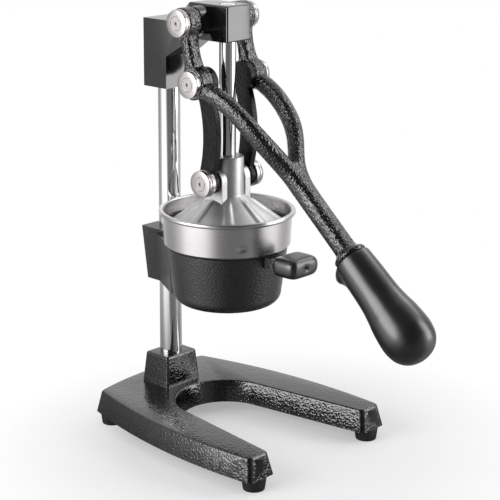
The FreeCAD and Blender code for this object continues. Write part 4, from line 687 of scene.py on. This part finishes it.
ear_inner, ear_outer, ear_bore = 0.0120, 0.0195, 0.00505
ear_half_width, ear_arc, ear_drop = 0.0118, 0.01185, 0.0225
work = bmesh.new()
work.from_mesh(cone_mesh)
for sign in (1, -1):
    ear = bmesh.new()
    ear_plate(ear, ear_inner * sign, ear_outer * sign, ear_half_width, ear_arc, ear_drop, ear_bore)
    mark_sharp(ear)
    ear_mesh = bpy.data.meshes.new("ear")
    ear.to_mesh(ear_mesh)
    ear.free()
    work.from_mesh(ear_mesh)
    bpy.data.meshes.remove(ear_mesh)
work.to_mesh(cone_mesh)
work.free()
cone_mesh.transform(Matrix.Translation(rod_middle))
cone_piece = as_piece("press_cone_casting", cone_mesh, cast_aluminium, "press", "aluminium", "press_cone")
soften(cone_piece, rounding=0.0007, sharp=40)

# Reamer: cast in the same aluminium as the press cone, with ten narrow ribs round it. It
# stands on the floor of the strainer, right under the press cone.
dressed("reamer_cone", "frame", "aluminium", cast_aluminium, rounding=0.0004, sharp=25)

# Strainer cup: spun from stainless sheet, which leaves fine rings round its wall. The rim is
# rolled, three small marks are pressed into the wall, and the floor has sixteen drain slots.
spun_steel, shader = new_material("spun_stainless", (0.62, 0.61, 0.59), 1.0, 0.27)
rings = grain(spun_steel, 1, 2.0, (1.5, 2200, 1), "UV")
spun_steel.node_tree.links.new(spread(spun_steel, rings, 0.26, 0.33), shader.inputs["Roughness"])
relief(spun_steel, shader, rings, 0.000004)
tinted(spun_steel, shader, rings, (0.60, 0.585, 0.59), (0.68, 0.665, 0.67))
strainer_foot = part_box("strainer_cup")[0][2]
sheet, sheet_bend, wall_steps = 0.001, 0.0018, 36
wall_foot, wall_top = (0.0602, 0.0215), (0.0616, 0.0518)
wall = [tuple(Vector(wall_foot).lerp(Vector(wall_top), step / wall_steps)) for step in range(wall_steps)]
bead_radius, bead_across, bead_up, bead_start, bead_sweep, bead_steps = 0.0024, 0.0626, 0.0518, 205, 310, 20
bead = []
for step in range(bead_steps + 1):
    angle = math.radians(bead_start + bead_sweep * step / bead_steps)
    bead.append((bead_across + bead_radius * math.cos(angle), bead_up + bead_radius * math.sin(angle)))
# The basket under the wall as (radius, height), on its outer and its inner face.
basket_outside = [(0.0460, 0.0), (0.0495, 0.0), (0.0524, 0.0185), (0.0572, 0.0185), wall_foot]
basket_inside = [(0.0592, 0.0215), (0.0566, 0.0195), (0.0514, 0.0195), (0.0486, 0.0010), (0.0460, 0.0010)]
outside = rounded(basket_outside, sheet_bend)[:-1]
inside = [(radius - sheet, height) for radius, height in reversed(wall)]
inside += rounded(basket_inside, sheet_bend)[1:]
marks = [math.radians(degrees) for degrees in (236.6, 356.6, 116.6)]
mark_height, mark_depth, mark_half_width, mark_half_height = 0.0300, 0.0011, 0.0045, 0.0030
marked_beyond, marked_below = 0.0585, 0.0490


def pressed(angle, radius, height):
    """The inward dent of the three oval marks, which only the wall below its bead has."""
    dent = 0.0
    for mark in marks:
        across = math.remainder(angle - mark, 2 * math.pi) * radius / mark_half_width
        upward = (height - mark_height) / mark_half_height
        dent += mark_depth * math.exp(-(across * across + upward * upward) ** 1.5)
    return -dent if radius > marked_beyond and height < marked_below else 0.0


wall_mesh = lathe("strainer_wall", outside + wall + bead + inside, 288, ring=True, push=pressed)

slots_tree, given, result = new_tree("drain_slots", Cutter="Object", Slots="Int", Finish="Material")
cutter = node_of(slots_tree, "GeometryNodeObjectInfo", {"Object": given["Cutter"]})
spots = node_of(slots_tree, "GeometryNodePoints", {"Count": given["Slots"]})
number = node_of(slots_tree, "GeometryNodeInputIndex", {})
turn_each = worked_out(slots_tree, "DIVIDE", 2 * math.pi, given["Slots"])
spin = node_of(slots_tree, "ShaderNodeCombineXYZ",
               {"Z": worked_out(slots_tree, "MULTIPLY", number.outputs[0], turn_each)})
cutters = node_of(slots_tree, "GeometryNodeInstanceOnPoints", {
    "Points": spots.outputs[0], "Instance": cutter.outputs["Geometry"], "Rotation": spin.outputs[0]})
pierced = node_of(slots_tree, "GeometryNodeMeshBoolean", {
    "Mesh 1": given["Geometry"], "Mesh 2": cutters.outputs["Instances"]}, operation="DIFFERENCE")
finish_tree(slots_tree, pierced.outputs["Mesh"], given["Finish"], result)

floor_radius, floor_bottom, floor_top = 0.0475, 0.00002, 0.00098
slot_middle, slot_length, slot_width, cut_height = 0.0420, 0.0090, 0.0030, 0.0040
floor_plate = lathe("strainer_floor", [
    (0.0, floor_bottom), (floor_radius, floor_bottom), (floor_radius, floor_top), (0.0, floor_top)], 192)
slot_shape = bmesh.new()
bmesh.ops.create_cube(slot_shape, size=1.0, matrix=Matrix.Translation((slot_middle, 0, sheet / 2))
                      @ Matrix.Diagonal((slot_length, slot_width, cut_height, 1)))
slot_mesh = bpy.data.meshes.new("slot_cutter")
slot_shape.to_mesh(slot_mesh)
slot_shape.free()
slot_cutter = pattern_piece("slot_cutter", slot_mesh)
floor_plate = grown("strainer_floor", slots_tree, floor_plate, Cutter=slot_cutter, Slots=16,
                    Finish=spun_steel)
bpy.data.objects.remove(slot_cutter)
work = bmesh.new()
work.from_mesh(wall_mesh)
work.from_mesh(floor_plate)
work.to_mesh(wall_mesh)
work.free()
wall_mesh.transform(Matrix.Translation((0, rod_middle.y, strainer_foot)))
as_piece("spun_strainer", wall_mesh, spun_steel, "frame", "stainless", "strainer_cup")

# Cup casting: an iron cup, cast in one with the bracket that clamps it on the post and with
# the tongue for its grip, and painted in a fine textured black.
textured_paint, shader = new_material("textured_black_paint", (0.005, 0.005, 0.005), 0.0, 0.30)
shader.inputs["Specular IOR Level"].default_value = 0.9
relief(textured_paint, shader, grain(textured_paint, 620, 2.0), 0.00055)
tinted(textured_paint, shader, grain(textured_paint, 400, 3.0), (0.003, 0.003, 0.003), (0.009, 0.009, 0.009))
dressed("cup_casting", "frame", "textured", textured_paint, rounding=0.0008)

# Cup grip: a block moulded in the same plastic as the grip of the lever, its edges well
# rounded. It is pushed over the tongue of the cup and held by one screw.
softened("cup_grip", "frame", "plastic", grip_plastic, cell=0.0006, rounds=260, swell=0.0011)

# Studio: a pale paper floor and soft lamps round the press, on a white background. Polished
# pieces mirror the same white, with a darker room on the side where the camera stands.
floor_mesh = bpy.data.meshes.new("studio_floor")
floor_half = 30
corners = [(-floor_half, -floor_half, 0), (floor_half, -floor_half, 0), (floor_half, floor_half, 0),
           (-floor_half, floor_half, 0)]
floor_mesh.from_pydata(corners, [], [(0, 1, 2, 3)])
floor = bpy.data.objects.new("studio_floor", floor_mesh)
bpy.context.scene.collection.objects.link(floor)
paper, shader = new_material("pale_paper", (0.90, 0.885, 0.91), 0.0, 0.7)
# Light of the room by bearing, in degrees from +X: white behind the press and at the soft
# boxes, dark where the camera stands.
room_light = [(0, 0.6), (18, 1.0), (66, 1.0), (90, 0.35), (113, 0.3), (134, 0.75), (142, 1.5), (182, 1.5),
              (200, 0.06), (250, 0.06), (262, 0.22), (282, 0.25), (292, 1.3), (317, 1.3), (336, 0.45)]
brightest = 1.5


def light_by_bearing(tree, across, ahead):
    """Brightness of the room in the direction of two level coordinates."""
    turned_back = worked_out(tree, "ARCTAN2", worked_out(tree, "MULTIPLY", ahead, -1.0),
                             worked_out(tree, "MULTIPLY", across, -1.0))
    share = worked_out(tree, "ADD", worked_out(tree, "DIVIDE", turned_back, 2 * math.pi), 0.5)
    ramp_node = node_of(tree, "ShaderNodeValToRGB", {"Fac": share})
    ramp = ramp_node.color_ramp
    for number, (degrees, level) in enumerate(room_light):
        stop = ramp.elements[number] if number < 2 else ramp.elements.new(degrees / 360)
        stop.position = degrees / 360
        stop.color = (level / brightest, level / brightest, level / brightest, 1)
    return worked_out(tree, "MULTIPLY", ramp_node.outputs["Color"], brightest)


tree = paper.node_tree
spot = node_of(tree, "ShaderNodeTexCoord", {})
spot_split = node_of(tree, "ShaderNodeSeparateXYZ", {0: spot.outputs["Object"]})
away = node_of(tree, "ShaderNodeVectorMath", {0: spot.outputs["Object"]}, operation="LENGTH")
path = node_of(tree, "ShaderNodeLightPath", {})
# Distances from the middle of the press: within the first the paper mostly keeps its shading,
# by the second it is white to the eye, and by the third it is as bright as the room in mirrors.
# Nearer than the third, mirrors see the paper darkened towards the press: a painted shade in
# place of the press's shadow on the paper.
shaded_reach, white_reach, mirror_reach, mirrored_share = 0.14, 0.28, 0.6, 0.8
open_paper = node_of(tree, "ShaderNodeMapRange", {
    "Value": away.outputs["Value"], "From Min": shaded_reach, "From Max": white_reach,
    "To Min": 0.35, "To Max": 1.0})
# Painted shade: the paper that mirrors see is dimmed near the press, standing in for its shadow.
paper_shade_in_mirrors = node_of(tree, "ShaderNodeMapRange", {
    "Value": away.outputs["Value"], "From Min": shaded_reach, "From Max": mirror_reach,
    "To Min": 0.10, "To Max": 1.0})
# The room's light on the paper as mirrors see it, with the painted shade near the press.
room = worked_out(tree, "MULTIPLY", light_by_bearing(tree, spot_split.outputs[0], spot_split.outputs[1]),
                  paper_shade_in_mirrors.outputs[0])
seen = worked_out(tree, "MULTIPLY", path.outputs["Is Camera Ray"], open_paper.outputs[0])
mirrored = worked_out(tree, "MULTIPLY", path.outputs["Is Glossy Ray"], mirrored_share)
glow = node_of(tree, "ShaderNodeEmission", {
    "Strength": worked_out(tree, "MAXIMUM", path.outputs["Is Camera Ray"], room)})
blend = node_of(tree, "ShaderNodeMixShader", {
    0: worked_out(tree, "MAXIMUM", seen, mirrored), 1: shader.outputs["BSDF"], 2: glow.outputs["Emission"]})
tree.links.new(blend.outputs["Shader"], tree.nodes["Material Output"].inputs["Surface"])
floor_mesh.materials.append(paper)

world = bpy.data.worlds.new("studio")
bpy.context.scene.world = world
world.use_nodes = True
tree = world.node_tree
where = node_of(tree, "ShaderNodeTexCoord", {})
way = node_of(tree, "ShaderNodeSeparateXYZ", {0: where.outputs["Generated"]})
level_light = light_by_bearing(tree, way.outputs[0], way.outputs[1])
# Overhead the room is light behind the press and dark in front of it.
dark_side, light_overhead, dark_overhead, fill_light = (-0.73, -0.68, 0), 0.8, 0.07, 0.5
ahead = node_of(tree, "ShaderNodeVectorMath", {0: where.outputs["Generated"], 1: dark_side},
                operation="DOT_PRODUCT")
high_light = node_of(tree, "ShaderNodeMapRange", {
    "Value": ahead.outputs["Value"], "From Min": -0.12, "From Max": 0.1, "To Min": light_overhead,
    "To Max": dark_overhead})
upward = node_of(tree, "ShaderNodeMapRange", {
    "Value": way.outputs[2], "From Min": 0.3, "From Max": 0.55, "To Min": 0.0, "To Max": 1.0})
room = node_of(tree, "ShaderNodeMix", {0: upward.outputs[0], 2: level_light, 3: high_light.outputs[0]})
path = node_of(tree, "ShaderNodeLightPath", {})
shaded = worked_out(tree, "MULTIPLY", path.outputs["Is Glossy Ray"], room.outputs[0])
direct = worked_out(tree, "MAXIMUM", path.outputs["Is Camera Ray"], path.outputs["Is Transmission Ray"])
filled = worked_out(tree, "MULTIPLY", path.outputs["Is Diffuse Ray"], fill_light)
strength = worked_out(tree, "MAXIMUM", worked_out(tree, "MAXIMUM", shaded, direct), filled)
tree.nodes["Background"].inputs["Color"].default_value = (1, 1, 1, 1)
tree.links.new(strength, tree.nodes["Background"].inputs["Strength"])


def soft_lamp(name, place, aim, width, height, radiance):
    """A rectangular soft lamp of an even radiance, aimed at a point."""
    lamp = bpy.data.lights.new(name, "AREA")
    lamp.shape = "RECTANGLE"
    lamp.size, lamp.size_y = width, height
    lamp.energy = radiance * math.pi * width * height
    holder = bpy.data.objects.new(name, lamp)
    holder.location = place
    way = Vector(aim) - Vector(place)
    holder.rotation_euler = way.to_track_quat("-Z", "Y").to_euler()
    bpy.context.scene.collection.objects.link(holder)


press_middle = (0, 0, 0.3)
soft_lamp("right_soft_box", (0.72, -0.85, 0.58), press_middle, width=0.52, height=1.1, radiance=3.8)
soft_lamp("left_soft_box", (-1.24, 0.38, 0.62), press_middle, width=0.95, height=1.05, radiance=4.2)
soft_lamp("high_soft_box", (1.1, -0.15, 1.2), press_middle, width=0.5, height=0.5, radiance=3.0)

# Camera: where the photograph was taken from, in front and to the left, a little above. Its
# lens and its shift are counted in pixels of the square photograph.
camera_data = bpy.data.cameras.new("photo_camera")
camera = bpy.data.objects.new("photo_camera", camera_data)
bpy.context.scene.collection.objects.link(camera)
azimuth, elevation, roll = math.radians(-47.06), math.radians(15.09), math.radians(0.35)
back = Vector((math.sin(azimuth) * math.cos(elevation), -math.cos(azimuth) * math.cos(elevation),
               math.sin(elevation)))
level = Vector((math.cos(azimuth), math.sin(azimuth), 0))
upward = back.cross(level)
right = level * math.cos(roll) + upward * math.sin(roll)
upward = upward * math.cos(roll) - level * math.sin(roll)
place = Vector((-1.03198, -0.92713, 0.59986))
camera.matrix_world = Matrix((
    (right.x, upward.x, back.x, place.x),
    (right.y, upward.y, back.y, place.y),
    (right.z, upward.z, back.z, place.z),
    (0, 0, 0, 1),
))
photo_width, focal_pixels, shift_pixels = 500, 1562.38, (0.64, -30.45)
camera_data.sensor_width = 36
camera_data.lens = focal_pixels / photo_width * camera_data.sensor_width
camera_data.shift_x = shift_pixels[0] / photo_width
camera_data.shift_y = shift_pixels[1] / photo_width
bpy.context.scene.camera = camera
bpy.context.scene.view_settings.view_transform = "Standard"
